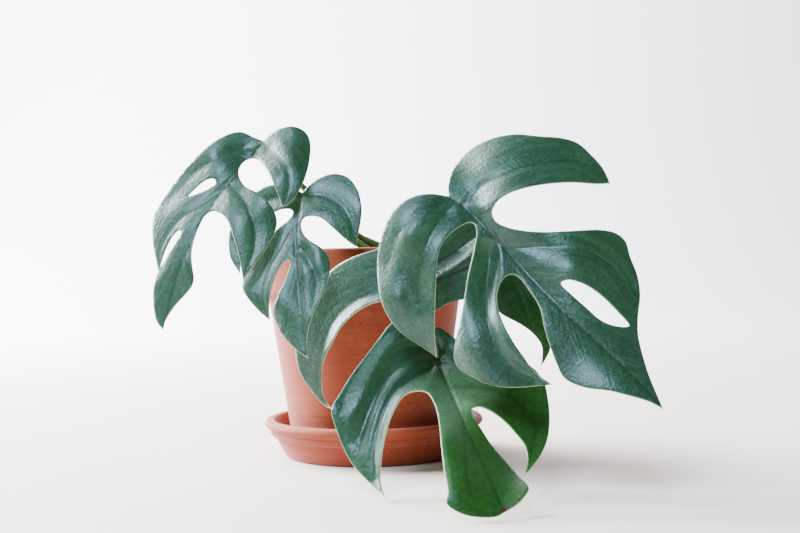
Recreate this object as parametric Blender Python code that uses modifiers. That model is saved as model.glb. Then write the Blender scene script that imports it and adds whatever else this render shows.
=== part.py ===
"""A potted mini monstera: five split leaves, a climbing stem with their stalks, soil, a clay pot and its saucer.

Metres, +Z up. The origin is the middle of the saucer's underside, and the leaves lean towards -Y, the front.
The leaves are drawn as they are seen from a level viewpoint in front of the pot: an outline point is a sight
line from that viewpoint, and each leaf has its own curved sheet in space, which the sight lines are carried to.
"""

import math

import bmesh
import bpy
import numpy as np
from mathutils import Vector
from mathutils.bvhtree import BVHTree
from mathutils.geometry import delaunay_2d_cdt

MM = 0.001

# Pot and saucer, a matched set of the 120 mm size
POT_X = -4 * MM
POT_RIM_RADIUS = 60 * MM
POT_RIM_TOP = 113 * MM
POT_BAND_HEIGHT = 25 * MM
POT_BAND_PROUD = 3.5 * MM
POT_LIP_HEIGHT = 5.5 * MM
POT_GROOVE = 0.6 * MM
POT_TAPER = 0.147
POT_WALL = 5 * MM
POT_FLOOR = 6 * MM
POT_FOOT_ROUND = 2.5 * MM
DRAIN_RADIUS = 7 * MM
SAUCER_RADIUS = 60.3 * MM
SAUCER_FOOT_RADIUS = 48 * MM
SAUCER_HEIGHT = 21 * MM
SAUCER_FLOOR = 5 * MM
SAUCER_WALL = 5.2 * MM
ROUND_STEPS = 48
FIT_GAP = 0.3 * MM

# Soil
SOIL_TOP = 97 * MM
SOIL_CROWN = 2.5 * MM
SOIL_RINGS = 5

# Stem and petioles
STEM_RADIUS = 4.4 * MM
PETIOLE_RADIUS = 1.7 * MM
KNEE_RADIUS = 2.3 * MM
KNEE_LENGTH = 9 * MM
KNEE_TAPER = 3 * MM
TIP_RADIUS = 1.2 * MM
STEM_STEP = 2.7 * MM
TUBE_POINTS = 10

# Leaves
BLADE_THICKNESS = 0.8 * MM
MESH_STEP = 10
EDGE_STEP = 7.5
MARGIN_REACH = 12
MARGIN_DROP = 0.15 * MM
FOLD_FADE = 0.6
FOLD_START = 0.35
FOLD_GROWS = 0.2
FOLD_MEETING = 3
FOLD_STEP = 6

# The viewpoint that the leaves are drawn from, and its picture, 800 by 533 with sight lines in its own units
EYE = Vector((16 * MM, -639 * MM, 103 * MM))
FOCAL = 1150
PICTURE_CENTRE = (400, 266.5)
TILT = math.radians(1.1)

TERRACOTTA = ("terracotta", (0.50, 0.17, 0.085), 0.85)
SOIL = ("potting soil", (0.035, 0.022, 0.015), 0.95)
STEM_GREEN = ("green stem", (0.10, 0.17, 0.045), 0.5)
LEAF_GREEN = ("waxy leaf", (0.045, 0.13, 0.07), 0.38)

# Each leaf has its outline as runs that meet in sharp tips, its slots, its sheet as (x, y, millimetres in
# front of the saucer's middle) and its veins, the midrib first. The sheet is folded along each vein, and
# folds gives for each one its depth in millimetres and how far it reaches to each side in picture units.
LEAVES = {
    "upper_left": {
        "runs": [
            [(263, 141), (255, 138), (240, 132), (220, 138), (200, 153), (182, 173), (167, 193), (157, 209),
             (153, 218)],
            [(153, 218), (152, 230), (153, 245), (156, 260), (158, 271)],
            [(158, 271), (154, 284), (153, 296), (154, 311), (157, 322), (163, 330)],
            [(163, 330), (166, 320), (175, 306), (186, 294), (192, 286), (194, 278), (192.5, 268),
             (191.5, 254),
             (194, 240), (199, 227), (205, 216), (212, 211.3), (220, 213), (227, 220), (233, 236),
             (238, 252),
             (241, 267), (243, 280)],
            [(243, 280), (250, 270), (260, 257), (269, 244), (275.5, 230), (277, 221), (274, 211),
             (267, 201),
             (256, 192), (246, 187), (240, 179), (238.5, 171), (242, 164), (248, 159.5), (255, 158.5),
             (261, 162), (269, 174), (275, 187), (280, 200), (282, 207)],
            [(282, 207), (291, 202), (299, 191), (305, 178), (309, 163), (310.5, 147), (308, 136),
             (301, 129),
             (291, 126.5), (280, 128.5), (270, 134), (263, 141)],
        ],
        "slots": [
            [(188, 196.5), (194, 190), (201, 183.5), (209, 179), (215, 179.5), (215.5, 184), (209, 188.5),
             (198, 193.5)],
            [(160.5, 267), (163, 257), (167.5, 246), (173, 236), (179, 230.5), (181.5, 232.5), (178, 239),
             (170, 251)],
        ],
        "sheet": [(263, 142, 50), (246, 162, 57), (222, 192, 66), (197, 230, 74), (181, 268, 78),
                  (163, 330, 81),
                  (240, 133, 49), (215, 160, 59), (190, 172, 55), (157, 210, 60), (153, 245, 68),
                  (185, 210, 67),
                  (154, 295, 76), (192, 280, 79), (290, 128, 53), (310, 150, 55), (290, 165, 68),
                  (282, 207, 74), (262, 160, 60), (277, 221, 74), (250, 215, 77), (243, 280, 86),
                  (212, 212, 71)],
        "veins": [
            [(263, 142), (246, 162), (222, 192), (197, 230), (178, 272), (163, 330)],
            [(258, 148), (238, 150), (214, 160), (190, 178), (168, 202)],
            [(229, 183), (205, 203), (180, 220), (163, 245), (158, 268)],
            [(261, 146), (275, 154), (287, 168), (289, 185), (284, 202)],
            [(229, 184), (244, 200), (254, 225), (254, 250), (245, 275)],
        ],
        "folds": [(2.0, 12, 10), (2.0, 11, 11), (1.8, 10, 10), (2.2, 10, 10), (2.2, 10, 10)],
    },
    "lower_left": {
        "runs": [
            [(302, 193), (296, 189.5), (287, 185.5), (275, 184.5), (262, 188), (249, 198), (237, 213),
             (230, 229), (228.5, 245), (231, 259), (240, 274)],
            [(240, 274), (241, 262), (245, 248), (253, 234), (263, 222), (275, 212), (284, 209),
             (291, 209.5),
             (293, 213), (288, 220.5), (277, 229), (266, 241), (256, 254), (248, 267), (242.5, 280),
             (243, 290),
             (250, 301), (259, 311), (270, 320.5)],
            [(270, 320.5), (269, 309), (270, 297), (273, 283), (279, 269), (285, 261), (289.5, 259.5),
             (290, 265), (285, 280), (278, 295), (273.5, 310), (276, 323), (284, 337), (296, 349.5),
             (308.5, 359)],
            [(308.5, 359), (307, 347), (308, 332), (312.5, 316), (320, 300), (326.5, 284), (330, 268),
             (328, 256), (320, 247), (309, 240), (302.5, 232), (301, 224), (304, 218), (311, 216),
             (321, 218),
             (332, 227), (344, 238), (356, 247)],
            [(356, 247), (358, 235), (361, 220), (361.5, 206), (358, 191), (349, 178.5), (337, 174),
             (324, 176),
             (312, 183), (302, 193)],
        ],
        "slots": [],
        "sheet": [(302, 193, 62), (298, 218, 70), (296, 245, 76), (299, 285, 84), (303, 322, 91),
                  (308, 358, 96),
                  (335, 175, 58), (361, 207, 69), (340, 205, 68), (356, 246, 74), (312, 216, 70),
                  (330, 264, 80),
                  (315, 265, 83), (275, 186, 57), (250, 200, 55), (229, 245, 66), (240, 274, 72),
                  (262, 222, 62),
                  (277, 229, 68), (243, 285, 77), (270, 320, 84), (262, 275, 78), (275, 308, 86)],
        "veins": [
            [(302, 193), (298, 218), (296, 245), (298, 285), (302, 322), (308, 358)],
            [(303, 197), (322, 196), (342, 206), (353, 226), (355, 244)],
            [(299, 212), (283, 245), (268, 272), (262, 296), (269, 318)],
            [(300, 196), (280, 197), (256, 208), (240, 232), (239, 268)],
            [(298, 244), (310, 262), (317, 282), (314, 305)],
        ],
        "folds": [(2.2, 11, 10), (2.2, 11, 11), (2.0, 12, 10), (1.8, 10, 10), (2.8, 11, 9)],
    },
    "upper_right": {
        "runs": [
            [(449, 197), (448, 187), (451, 174), (460, 160), (473, 148), (491, 139), (515, 134.5),
             (540, 136.5),
             (560, 138), (577, 143), (592, 156), (603, 169), (610, 183.5)],
            [(610, 183.5), (596, 184), (572, 182.5), (548, 184), (525, 188), (507, 194.5), (496, 203),
             (492, 213), (496, 221.5), (507, 227), (523, 230.5), (545, 232), (572, 231), (600, 230),
             (615, 233),
             (625, 241), (630, 257), (637, 275), (640, 295), (638, 315), (638, 335), (642, 353), (649, 376),
             (663, 409)],
            [(663, 409), (650, 402), (630, 396), (610, 391), (590, 388.5), (574, 384), (563, 376.5),
             (556, 362),
             (550, 346), (544, 326), (540, 308), (531, 293), (519, 277.5), (512, 274.5), (504, 278),
             (498, 289),
             (497, 302), (502, 320), (512, 340), (523, 356), (535, 372), (552, 384.5)],
            [(552, 384.5), (537, 386), (518, 387.5), (500, 387), (485, 383), (470, 375.5), (459, 368),
             (454.5, 357), (456, 340), (460, 322), (464, 300), (468, 276), (474, 250), (476.5, 234),
             (475, 225), (470, 222.5), (461, 226), (450, 234), (441, 246), (437, 262), (436, 285),
             (435, 308),
             (434.5, 332), (437, 357)],
            [(437, 357), (424, 348), (410, 339), (398, 329.5), (388, 316), (381, 300), (378, 281),
             (377.5, 262),
             (380, 243), (388, 219), (398, 206), (411, 197.5), (428, 194), (440, 195), (449, 197)],
        ],
        "slots": [
            [(561, 283), (567, 280), (577, 281.5), (590, 287.5), (604, 298), (617, 311), (629, 326),
             (615, 326),
             (601, 320.5), (587, 308.5), (572, 295)],
        ],
        "sheet": [(449, 197, 108), (475, 217, 112), (505, 248, 118), (540, 287, 126), (585, 332, 136),
                  (625, 370, 144), (663, 409, 150), (460, 160, 92), (488, 168, 105), (515, 136, 93),
                  (530, 165, 108),
                  (507, 193, 117), (560, 182, 111), (575, 143, 92), (610, 183, 99), (492, 212, 117),
                  (545, 234, 120), (612, 234, 110), (640, 295, 116),
                  (575, 265, 128), (638, 345, 130), (428, 195, 109), (405, 235, 118), (378, 262, 110),
                  (410, 300, 120), (425, 325, 121), (433, 330, 121), (400, 300, 121), (437, 357, 119),
                  (471, 223, 114), (455, 350, 132), (487, 320, 138),
                  (500, 387, 143), (552, 384, 142), (512, 275, 122), (560, 365, 140)],
        "veins": [
            [(449, 197), (475, 217), (500, 243), (540, 287), (585, 332), (625, 370), (663, 409)],
            [(462, 207), (480, 188), (508, 173), (540, 164), (575, 162), (604, 178)],
            [(456, 203), (436, 226), (422, 256), (417, 282), (418, 302)],
            [(493, 237), (489, 259), (487, 278), (486, 297), (487, 314), (491, 332), (497, 347), (505, 360),
             (516, 371), (533, 379)],
            [(505, 248), (545, 247), (583, 252), (612, 268), (630, 300)],
            [(451, 200), (420, 212), (398, 235), (388, 265)],
        ],
        "folds": [(2.2, 12, 12), (3.0, 14, 13), (3.0, 15, 10), (7.5, 18, 9), (1.2, 11, 11), (1.2, 10, 10)],
    },
    "middle_right": {
        "runs": [
            [(478, 219), (462, 212), (442, 216), (418, 228), (396, 241), (377, 249), (352, 257.5),
             (333, 269),
             (318, 286), (305, 308), (297.5, 332), (296, 356), (300.5, 374), (308, 386), (316, 396.5),
             (324, 405),
             (333, 410)],
            [(333, 410), (327.5, 403), (323.7, 396), (321.8, 384), (322.3, 368), (325.2, 357),
             (331, 345), (342, 326),
             (358, 311), (376, 302.5), (390, 302), (400, 307), (408, 315)],
            [(408, 315), (418, 316), (428, 315), (437, 310.5), (446, 304.5), (458, 300.5), (474, 299.5),
             (490, 304), (503, 315), (520, 324), (534, 334.5), (542, 347), (541, 367)],
            [(541, 367), (549, 352), (553, 335), (552, 318), (547, 300), (546, 288), (551, 281), (555, 270),
             (554, 258), (546, 247), (531, 240), (513, 233), (496, 225), (478, 219)],
        ],
        "slots": [],
        "sheet": [(478, 219, 94), (497, 250, 97), (515, 285, 99), (530, 325, 99), (541, 367, 97),
                  (442, 217, 88),
                  (400, 240, 82), (377, 250, 78), (333, 270, 70), (305, 310, 67), (297, 345, 67),
                  (332, 408, 75),
                  (320, 350, 76), (360, 285, 82), (380, 302, 88), (408, 315, 91), (437, 310, 94),
                  (435, 265, 92), (474, 300, 98), (548, 260, 90), (551, 330, 96)],
        "veins": [
            [(478, 219), (497, 250), (514, 285), (530, 325), (541, 366)],
            [(484, 229), (440, 262), (405, 280), (377, 290.5), (358, 299), (344, 309.5), (334, 321),
             (328.5, 332),
             (324.5, 345), (320.8, 360), (319, 375), (319, 390), (325, 403)],
            [(500, 256), (462, 270), (430, 288), (412, 309)],
            [(490, 239), (515, 248), (540, 262)],
        ],
        "folds": [(2.4, 12, 12), (8.0, 28, 9), (1.6, 12, 12), (1.2, 11, 11)],
    },
    "bottom_front": {
        "runs": [
            [(437, 354), (427, 346), (421, 336), (409, 326), (393, 322.5), (381, 336), (368, 353),
             (352, 374),
             (339, 395), (331.5, 409), (335, 426), (343, 447), (353, 465), (367, 480.5), (384, 496)],
            [(384, 496), (380.5, 482), (381, 464), (385, 438), (393, 413), (404, 396), (416, 391.3),
             (427, 393),
             (434, 403), (438.5, 420), (441, 445), (444, 470), (447.5, 491), (446.5, 503), (454, 510),
             (467, 515.5), (482, 517.5), (497, 516.5), (505, 512)],
            [(505, 512), (516, 505.5), (525, 496), (529, 488), (518, 476), (505, 461), (492, 446),
             (481, 429),
             (473, 416), (471.5, 409.5), (478, 407), (489, 410.5), (504, 421), (517, 435), (525, 446),
             (527.5, 459), (524, 476)],
            [(524, 476), (533, 466), (542, 453), (548, 437), (549.5, 418), (548, 400), (544, 383),
             (535, 370),
             (518, 359), (496, 351), (474, 345), (457, 339.5), (448, 333), (440, 327.5), (435.5, 327),
             (434, 334), (435, 345),
             (437, 354)],
        ],
        "slots": [],
        "sheet": [(437, 354, 93), (446, 380, 108), (457, 408, 128), (472, 443, 149), (488, 478, 162),
                  (505, 512, 174), (393, 323, 91), (331, 409, 116), (365, 370, 104), (375, 430, 122),
                  (384, 496, 137), (416, 391, 116), (400, 355, 97), (447, 500, 176), (482, 517, 177),
                  (529, 488, 164), (440, 328, 90), (500, 352, 93), (549, 418, 118), (505, 395, 121),
                  (524, 476, 150), (478, 408, 129), (441, 440, 154)],
        "veins": [
            [(437, 354), (445, 380), (457, 408), (472, 443), (488, 478), (505, 512)],
            [(442, 364), (424, 371), (408, 381), (395, 392), (385.5, 410), (378.5, 433), (375, 455),
             (377, 478)],
            [(449, 388), (485, 390), (515, 402), (534, 428), (530, 460)],
            [(441, 361), (425, 349), (411, 347), (397.5, 357), (386, 375), (378, 393), (368, 416),
             (360, 438)],
            [(463, 420), (464, 455), (470, 495)],
            [(436, 352), (418, 338), (400, 328), (382, 339), (366, 359), (353, 380), (344, 400)],
        ],
        "folds": [(2.2, 12, 12), (6.0, 8, 9), (2.0, 12, 12), (6.0, 10, 13), (0.6, 12, 12), (3.0, 8, 11)],
    },
}

# Petioles: where each leaves the stem and its way points, in millimetres; each ends behind its leaf's base.
PETIOLES = {
    "upper_left": [(12.5, 3.5, 104), (-7.5, -3, 117), (-30, -27, 141.5)],
    "lower_left": [(13.5, -1, 110), (-6, -22, 120), (-20, -42, 132)],
    "upper_right": [(15, -4, 117), (22, -40, 131), (31, -76, 136.5)],
    "middle_right": [(13, 1.5, 107), (30, -40, 117), (43, -68, 122.5)],
    "bottom_front": [(13, 0.5, 108), (14, -9, 109.5), (16, -36, 118.5), (20, -61, 119.5), (24, -77, 105),
                     (25.5, -86, 84)],
}
STEM_ROUTE = [(10, 12, 84), (12, 7, 97), (13, 1, 108), (15, -4, 118), (18, -7, 127)]


def smooth_line(points, step):
    """Points a step apart along a centripetal Catmull-Rom curve through the given ones."""
    p = np.array(points, float)
    p = np.vstack([2 * p[0] - p[1], p, 2 * p[-1] - p[-2]])
    made = [p[1]]
    for a, b, c, d in zip(p, p[1:], p[2:], p[3:]):
        t = np.cumsum([0] + [max(np.linalg.norm(v), 1e-9) ** 0.5 for v in (b - a, c - b, d - c)])
        for s in np.linspace(t[1], t[2], 17)[1:]:
            ab = ((t[1] - s) * a + (s - t[0]) * b) / (t[1] - t[0])
            bc = ((t[2] - s) * b + (s - t[1]) * c) / (t[2] - t[1])
            cd = ((t[3] - s) * c + (s - t[2]) * d) / (t[3] - t[2])
            ac = ((t[2] - s) * ab + (s - t[0]) * bc) / (t[2] - t[0])
            bd = ((t[3] - s) * bc + (s - t[1]) * cd) / (t[3] - t[1])
            made.append(((t[2] - s) * ac + (s - t[1]) * bd) / (t[2] - t[1]))
    made = np.array(made)
    along = np.concatenate([[0], np.cumsum(np.linalg.norm(np.diff(made, axis=0), axis=1))])
    places = np.linspace(0, along[-1], max(2, round(along[-1] / step) + 1))
    return np.column_stack([np.interp(places, along, made[:, k]) for k in range(made.shape[1])])


def sheet_of(stations):
    """The leaf's sheet: a thin plate bent through its stations, as depth over the picture."""
    s = np.array(stations, float)
    centre, span = s[:, :2].mean(0), 100.0

    def bend(a, b):
        r2 = ((a[:, None] - b[None]) ** 2).sum(2) + 1e-12
        return 0.5 * r2 * np.log(r2)

    at = (s[:, :2] - centre) / span
    n = len(s)
    flat = np.column_stack([np.ones(n), at])
    system = np.block([[bend(at, at) + 0.002 * np.eye(n), flat], [flat.T, np.zeros((3, 3))]])
    weights = np.linalg.solve(system, np.concatenate([s[:, 2], np.zeros(3)]))

    def depth(points):
        q = (np.atleast_2d(points)[:, :2] - centre) / span
        return bend(q, at) @ weights[:n] + np.column_stack([np.ones(len(q)), q]) @ weights[n:]

    return depth


def nearest_on(points, line):
    """For each point: distance to a polyline, length along it, and which side of it the point is on."""
    a, b = line[:-1], line[1:]
    ab = b - a
    length = np.linalg.norm(ab, axis=1)
    start = np.concatenate([[0], np.cumsum(length)[:-1]])
    found = []
    for block in np.array_split(points, len(points) // 2000 + 1):
        ap = block[:, None] - a
        t = np.clip((ap * ab).sum(2) / length ** 2, 0, 1)
        away = np.linalg.norm(ap - t[..., None] * ab, axis=2)
        k = away.argmin(1)
        rows = np.arange(len(block))
        side = np.sign(ab[k, 0] * ap[rows, k, 1] - ab[k, 1] * ap[rows, k, 0])
        found.append(np.column_stack([away[rows, k], start[k] + t[rows, k] * length[k], side]))
    return np.vstack(found).T


def carried(points, forward):
    """Picture points carried along their sight lines to so many millimetres in front of the saucer's middle."""
    u, v = points[:, 0] - PICTURE_CENTRE[0], PICTURE_CENTRE[1] - points[:, 1]
    across = u * math.cos(TILT) + v * math.sin(TILT)
    up = v * math.cos(TILT) - u * math.sin(TILT)
    reach = -EYE.y - forward * MM
    return np.column_stack([EYE.x + across / FOCAL * reach, EYE.y + reach, EYE.z + up / FOCAL * reach])


def folded(points, vein, fold, step):
    """Millimetres that one folded vein sets the sheet back by: shallow at first, deepest soon, then fading."""
    depth, left, right = fold
    line = smooth_line(vein, step)
    away, along, side = nearest_on(points, line)
    along = along / np.linalg.norm(np.diff(line, axis=0), axis=1).sum()
    swell = np.clip(FOLD_START + along / FOLD_GROWS, 0, 1) * (1 - FOLD_FADE * along)
    return depth * np.exp(-((away / np.where(side > 0, left, right)) ** 2)) * swell


def relief(points, leaf, edge):
    """Millimetres that the folded veins and the drooping margin set the sheet back by."""
    folds = [folded(points, vein, fold, FOLD_STEP) for vein, fold in zip(leaf["veins"], leaf["folds"])]
    droop = MARGIN_DROP / MM * np.clip(1 - edge / MARGIN_REACH, 0, 1) ** 2
    return (np.array(folds) ** FOLD_MEETING).sum(0) ** (1 / FOLD_MEETING) + droop


def inside(points, loop):
    """Which points a closed loop holds."""
    x, y = points[:, :1], points[:, 1:2]
    a, b = loop, np.roll(loop, -1, axis=0)
    crosses = (a[:, 1] > y) != (b[:, 1] > y)
    rise = np.where(b[:, 1] == a[:, 1], 1e-9, b[:, 1] - a[:, 1])
    left = x < (b[:, 0] - a[:, 0]) * (y - a[:, 1]) / rise + a[:, 0]
    return (crosses & left).sum(1) % 2 == 1


def closed_loop(points, step):
    """A smooth closed loop through the points."""
    p = np.array(points, float)
    around = smooth_line(np.vstack([p[-2:], p, p[:3]]), 1)
    away = np.linalg.norm(around - p[0], axis=1)
    half = len(around) // 2
    keep = around[away[:half].argmin():half + away[half:].argmin()]
    count = max(6, round(len(keep) / step))
    return keep[np.linspace(0, len(keep), count, endpoint=False).astype(int)]


def blade_mesh(name, leaf):
    """The leaf's middle surface, split into triangles between its margin, its slots and its veins."""
    margin = np.vstack([smooth_line(run, EDGE_STEP)[:-1] for run in leaf["runs"]])
    slots = [closed_loop(slot, EDGE_STEP) for slot in leaf["slots"]]
    loops = [margin, *slots]
    edge_points = np.vstack(loops)

    low, high = margin.min(0), margin.max(0)
    rows = []
    for k, y in enumerate(np.arange(low[1], high[1], MESH_STEP * 0.87)):
        x = np.arange(low[0] + (k % 2) * MESH_STEP / 2, high[0], MESH_STEP)
        rows.append(np.column_stack([x, np.full(len(x), y)]))
    grid = np.vstack(rows)

    lines = [smooth_line(vein, MESH_STEP * 0.9) for vein in leaf["veins"]]
    vein_points = np.vstack([line[1:-1] for line in lines])

    def clear(points, of, gap):
        return np.linalg.norm(points[:, None] - of[None], axis=2).min(1) > gap

    def on_blade(points):
        held = inside(points, margin)
        for slot in slots:
            held &= ~inside(points, slot)
        return points[held]

    vein_points = on_blade(vein_points)
    vein_points = vein_points[clear(vein_points, edge_points, EDGE_STEP * 0.6)]
    grid = on_blade(grid)
    grid = grid[clear(grid, edge_points, MESH_STEP * 0.55) & clear(grid, vein_points, MESH_STEP * 0.7)]
    points = np.vstack([edge_points, vein_points, grid])

    edges = []
    first = 0
    for loop in loops:
        n = len(loop)
        edges += [(first + i, first + (i + 1) % n) for i in range(n)]
        first += n
    flat, _, triangles, *_ = delaunay_2d_cdt([Vector(p) for p in points], edges, [], 0, 0.001)
    flat = np.array([tuple(p) for p in flat])
    middles = np.array([flat[list(t)].mean(0) for t in triangles])
    keep = inside(middles, margin)
    for slot in slots:
        keep &= ~inside(middles, slot)
    triangles = [t for t, kept in zip(triangles, keep) if kept]

    edge = nearest_on(flat, np.vstack([margin, margin[:1]]))[0]
    forward = sheet_of(leaf["sheet"])(flat) - relief(flat, leaf, edge)
    space = carried(flat, forward)
    mesh = bpy.data.meshes.new(name)
    mesh.from_pydata(space.tolist(), [], [tuple(t) for t in triangles])
    sides = bmesh.new()
    sides.from_mesh(mesh)
    bmesh.ops.delete(sides, geom=[v for v in sides.verts if not v.link_faces], context="VERTS")
    bmesh.ops.recalc_face_normals(sides, faces=sides.faces)
    if sum(f.normal.y * f.calc_area() for f in sides.faces) > 0:
        bmesh.ops.reverse_faces(sides, faces=sides.faces)
    sides.to_mesh(mesh)
    sides.free()
    return mesh


def material(recipe):
    """One of the object's finishes."""
    name, colour, roughness = recipe
    made = bpy.data.materials.get(name)
    if made is None:
        made = bpy.data.materials.new(name)
        made.use_nodes = True
        shader = made.node_tree.nodes["Principled BSDF"]
        shader.inputs["Base Color"].default_value = (*colour, 1)
        shader.inputs["Roughness"].default_value = roughness
        shader.inputs["Metallic"].default_value = 0
    return made


def add_object(name, mesh, recipe, collection):
    """A named object of a mesh, with its finish."""
    made = bpy.data.objects.new(name, mesh)
    mesh.materials.clear()
    mesh.materials.append(material(recipe))
    collection.objects.link(made)
    return made


def thicken(sheet, thickness):
    """Gives a sheet its thickness, half to each side, with the same triangles on both faces."""
    solidify = sheet.modifiers.new("thickness", "SOLIDIFY")
    solidify.thickness = thickness
    solidify.offset = 0


def add_blade(name, leaf, collection):
    """A leaf blade: its sheet with the blade's thickness."""
    blade = add_object(name, blade_mesh(name, leaf), LEAF_GREEN, collection)
    blade.data.shade_smooth()
    thicken(blade, BLADE_THICKNESS)
    return blade


def turned(name, profile, recipe, collection, centre_x=0.0):
    """A turned piece: its closed profile, as (radius, height), screwed round the upright axis."""
    mesh = bpy.data.meshes.new(name)
    points = [(r, 0, z) for r, z in profile]
    n = len(points)
    mesh.from_pydata(points, [(i, (i + 1) % n) for i in range(n)], [])
    made = add_object(name, mesh, recipe, collection)
    made.location.x = centre_x
    screw = made.modifiers.new("turn", "SCREW")
    screw.steps = screw.render_steps = ROUND_STEPS
    screw.use_merge_vertices = True
    screw.merge_threshold = 0.00005
    screw.use_smooth_shade = True
    return made


def pot_radius(height):
    """The pot's outer radius below its rim band."""
    return POT_RIM_RADIUS - POT_BAND_PROUD - POT_TAPER * (POT_RIM_TOP - height)


def add_pot(collection):
    """The clay pot: tapered wall, rim band with a fine groove under its lip, and a drain hole."""
    foot = SAUCER_FLOOR + FIT_GAP
    band = POT_RIM_TOP - POT_BAND_HEIGHT
    groove = POT_RIM_TOP - POT_LIP_HEIGHT
    floor = foot + POT_FLOOR
    band_radius = POT_RIM_RADIUS - 0.4 * MM
    profile = [
        (POT_RIM_RADIUS - 1.6 * MM, POT_RIM_TOP),
        (POT_RIM_RADIUS - 0.4 * MM, POT_RIM_TOP - 0.6 * MM),
        (POT_RIM_RADIUS, POT_RIM_TOP - 2 * MM),
        (POT_RIM_RADIUS, groove + 0.8 * MM),
        (POT_RIM_RADIUS - POT_GROOVE - 0.2 * MM, groove),
        (band_radius, groove - 0.8 * MM),
        (band_radius - 0.9 * MM, band + 2 * MM),
        (band_radius - 1.8 * MM, band),
        (pot_radius(band), band - 0.8 * MM),
        (pot_radius(foot + POT_FOOT_ROUND), foot + POT_FOOT_ROUND),
        (pot_radius(foot) - POT_FOOT_ROUND * 0.4, foot + POT_FOOT_ROUND * 0.4),
        (pot_radius(foot) - POT_FOOT_ROUND, foot),
        (DRAIN_RADIUS, foot),
        (DRAIN_RADIUS, floor),
        (pot_radius(floor) - POT_WALL - 3 * MM, floor),
        (pot_radius(floor + 3 * MM) - POT_WALL, floor + 3 * MM),
        (pot_radius(band) - POT_WALL, band),
        (pot_radius(POT_RIM_TOP) - POT_WALL + 1 * MM, POT_RIM_TOP - 2.2 * MM),
        (pot_radius(POT_RIM_TOP) - POT_WALL + 2.2 * MM, POT_RIM_TOP - 0.5 * MM),
        (pot_radius(POT_RIM_TOP) - POT_WALL + 3.4 * MM, POT_RIM_TOP),
    ]
    return turned("pot", profile, TERRACOTTA, collection, POT_X)


def add_saucer(collection):
    """The saucer: flat foot, flared wall with one fine step, and a thick rounded lip."""
    r, h = SAUCER_RADIUS, SAUCER_HEIGHT
    profile = [
        (r - 3.2 * MM, h),
        (r - 1.1 * MM, h - 0.7 * MM),
        (r, h - 2.4 * MM),
        (r - 0.4 * MM, h - 4.0 * MM),
        (r - 1.9 * MM, h - 5.2 * MM),
        (r - 3.3 * MM, h - 6.0 * MM),
        (r - 3.0 * MM, h - 7.4 * MM),
        (r - 3.3 * MM, h - 8.6 * MM),
        (r - 4.8 * MM, h - 9.6 * MM),
        (r - 6.2 * MM, h - 10.2 * MM),
        (r - 6.9 * MM, h - 11.8 * MM),
        (r - 9.0 * MM, 4.6 * MM),
        (SAUCER_FOOT_RADIUS + 1.2 * MM, 1.3 * MM),
        (SAUCER_FOOT_RADIUS, 0),
        (0, 0),
        (0, SAUCER_FLOOR),
        (SAUCER_FOOT_RADIUS - 1.2 * MM, SAUCER_FLOOR),
        (SAUCER_FOOT_RADIUS + 1.6 * MM, SAUCER_FLOOR + 1.4 * MM),
        (r - 3.2 * MM - SAUCER_WALL, h - 8 * MM),
        (r - SAUCER_WALL - 0.9 * MM, h - 2.2 * MM),
        (r - SAUCER_WALL + 0.1 * MM, h - 0.6 * MM),
    ]
    return turned("saucer", profile, TERRACOTTA, collection)


def tube_mesh(name, route, radius, knee):
    """A closed round tube along a smooth route, with the thicker knee that a leaf stalk has at its end."""
    points = route[np.linspace(0, len(route) - 1, max(4, round(len(route) / TUBE_POINTS))).astype(int)]
    points = np.vstack([points[:-1], (points[-2] + points[-1]) / 2, points[-1]])
    curve = bpy.data.curves.new(name, "CURVE")
    curve.dimensions = "3D"
    curve.bevel_depth = 1
    curve.bevel_resolution = 2
    curve.use_fill_caps = True
    line = curve.splines.new("POLY")
    line.points.add(len(points) - 1)
    left = np.linalg.norm(points - points[-1], axis=1)
    for place, at, rest in zip(line.points, points, left):
        place.co = (*at, 1)
        swell = np.interp(rest, [0, KNEE_TAPER, KNEE_LENGTH, 1.6 * KNEE_LENGTH],
                          [TIP_RADIUS, knee, knee, radius])
        place.radius = swell
    holder = bpy.data.objects.new(name, curve)
    bpy.context.scene.collection.objects.link(holder)
    graph = bpy.context.evaluated_depsgraph_get()
    mesh = bpy.data.meshes.new_from_object(holder.evaluated_get(graph))
    bpy.data.objects.remove(holder)
    bpy.data.curves.remove(curve)
    weld(mesh)
    return mesh


def weld(mesh):
    """Joins a tube's caps to its sides."""
    shape = bmesh.new()
    shape.from_mesh(mesh)
    bmesh.ops.remove_doubles(shape, verts=shape.verts, dist=0.00002)
    bmesh.ops.recalc_face_normals(shape, faces=shape.faces)
    shape.to_mesh(mesh)
    shape.free()


def add_cutter(name, mesh, collection):
    """A helper that only cuts."""
    cutter = bpy.data.objects.new(name, mesh)
    cutter.hide_render = True
    cutter.display_type = "WIRE"
    collection.objects.link(cutter)
    return cutter


def cut(piece, cutter):
    """Takes a cutter out of a piece."""
    boolean = piece.modifiers.new("cut_" + cutter.name, "BOOLEAN")
    boolean.object = cutter
    boolean.operation = "DIFFERENCE"
    boolean.solver = "EXACT"


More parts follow.
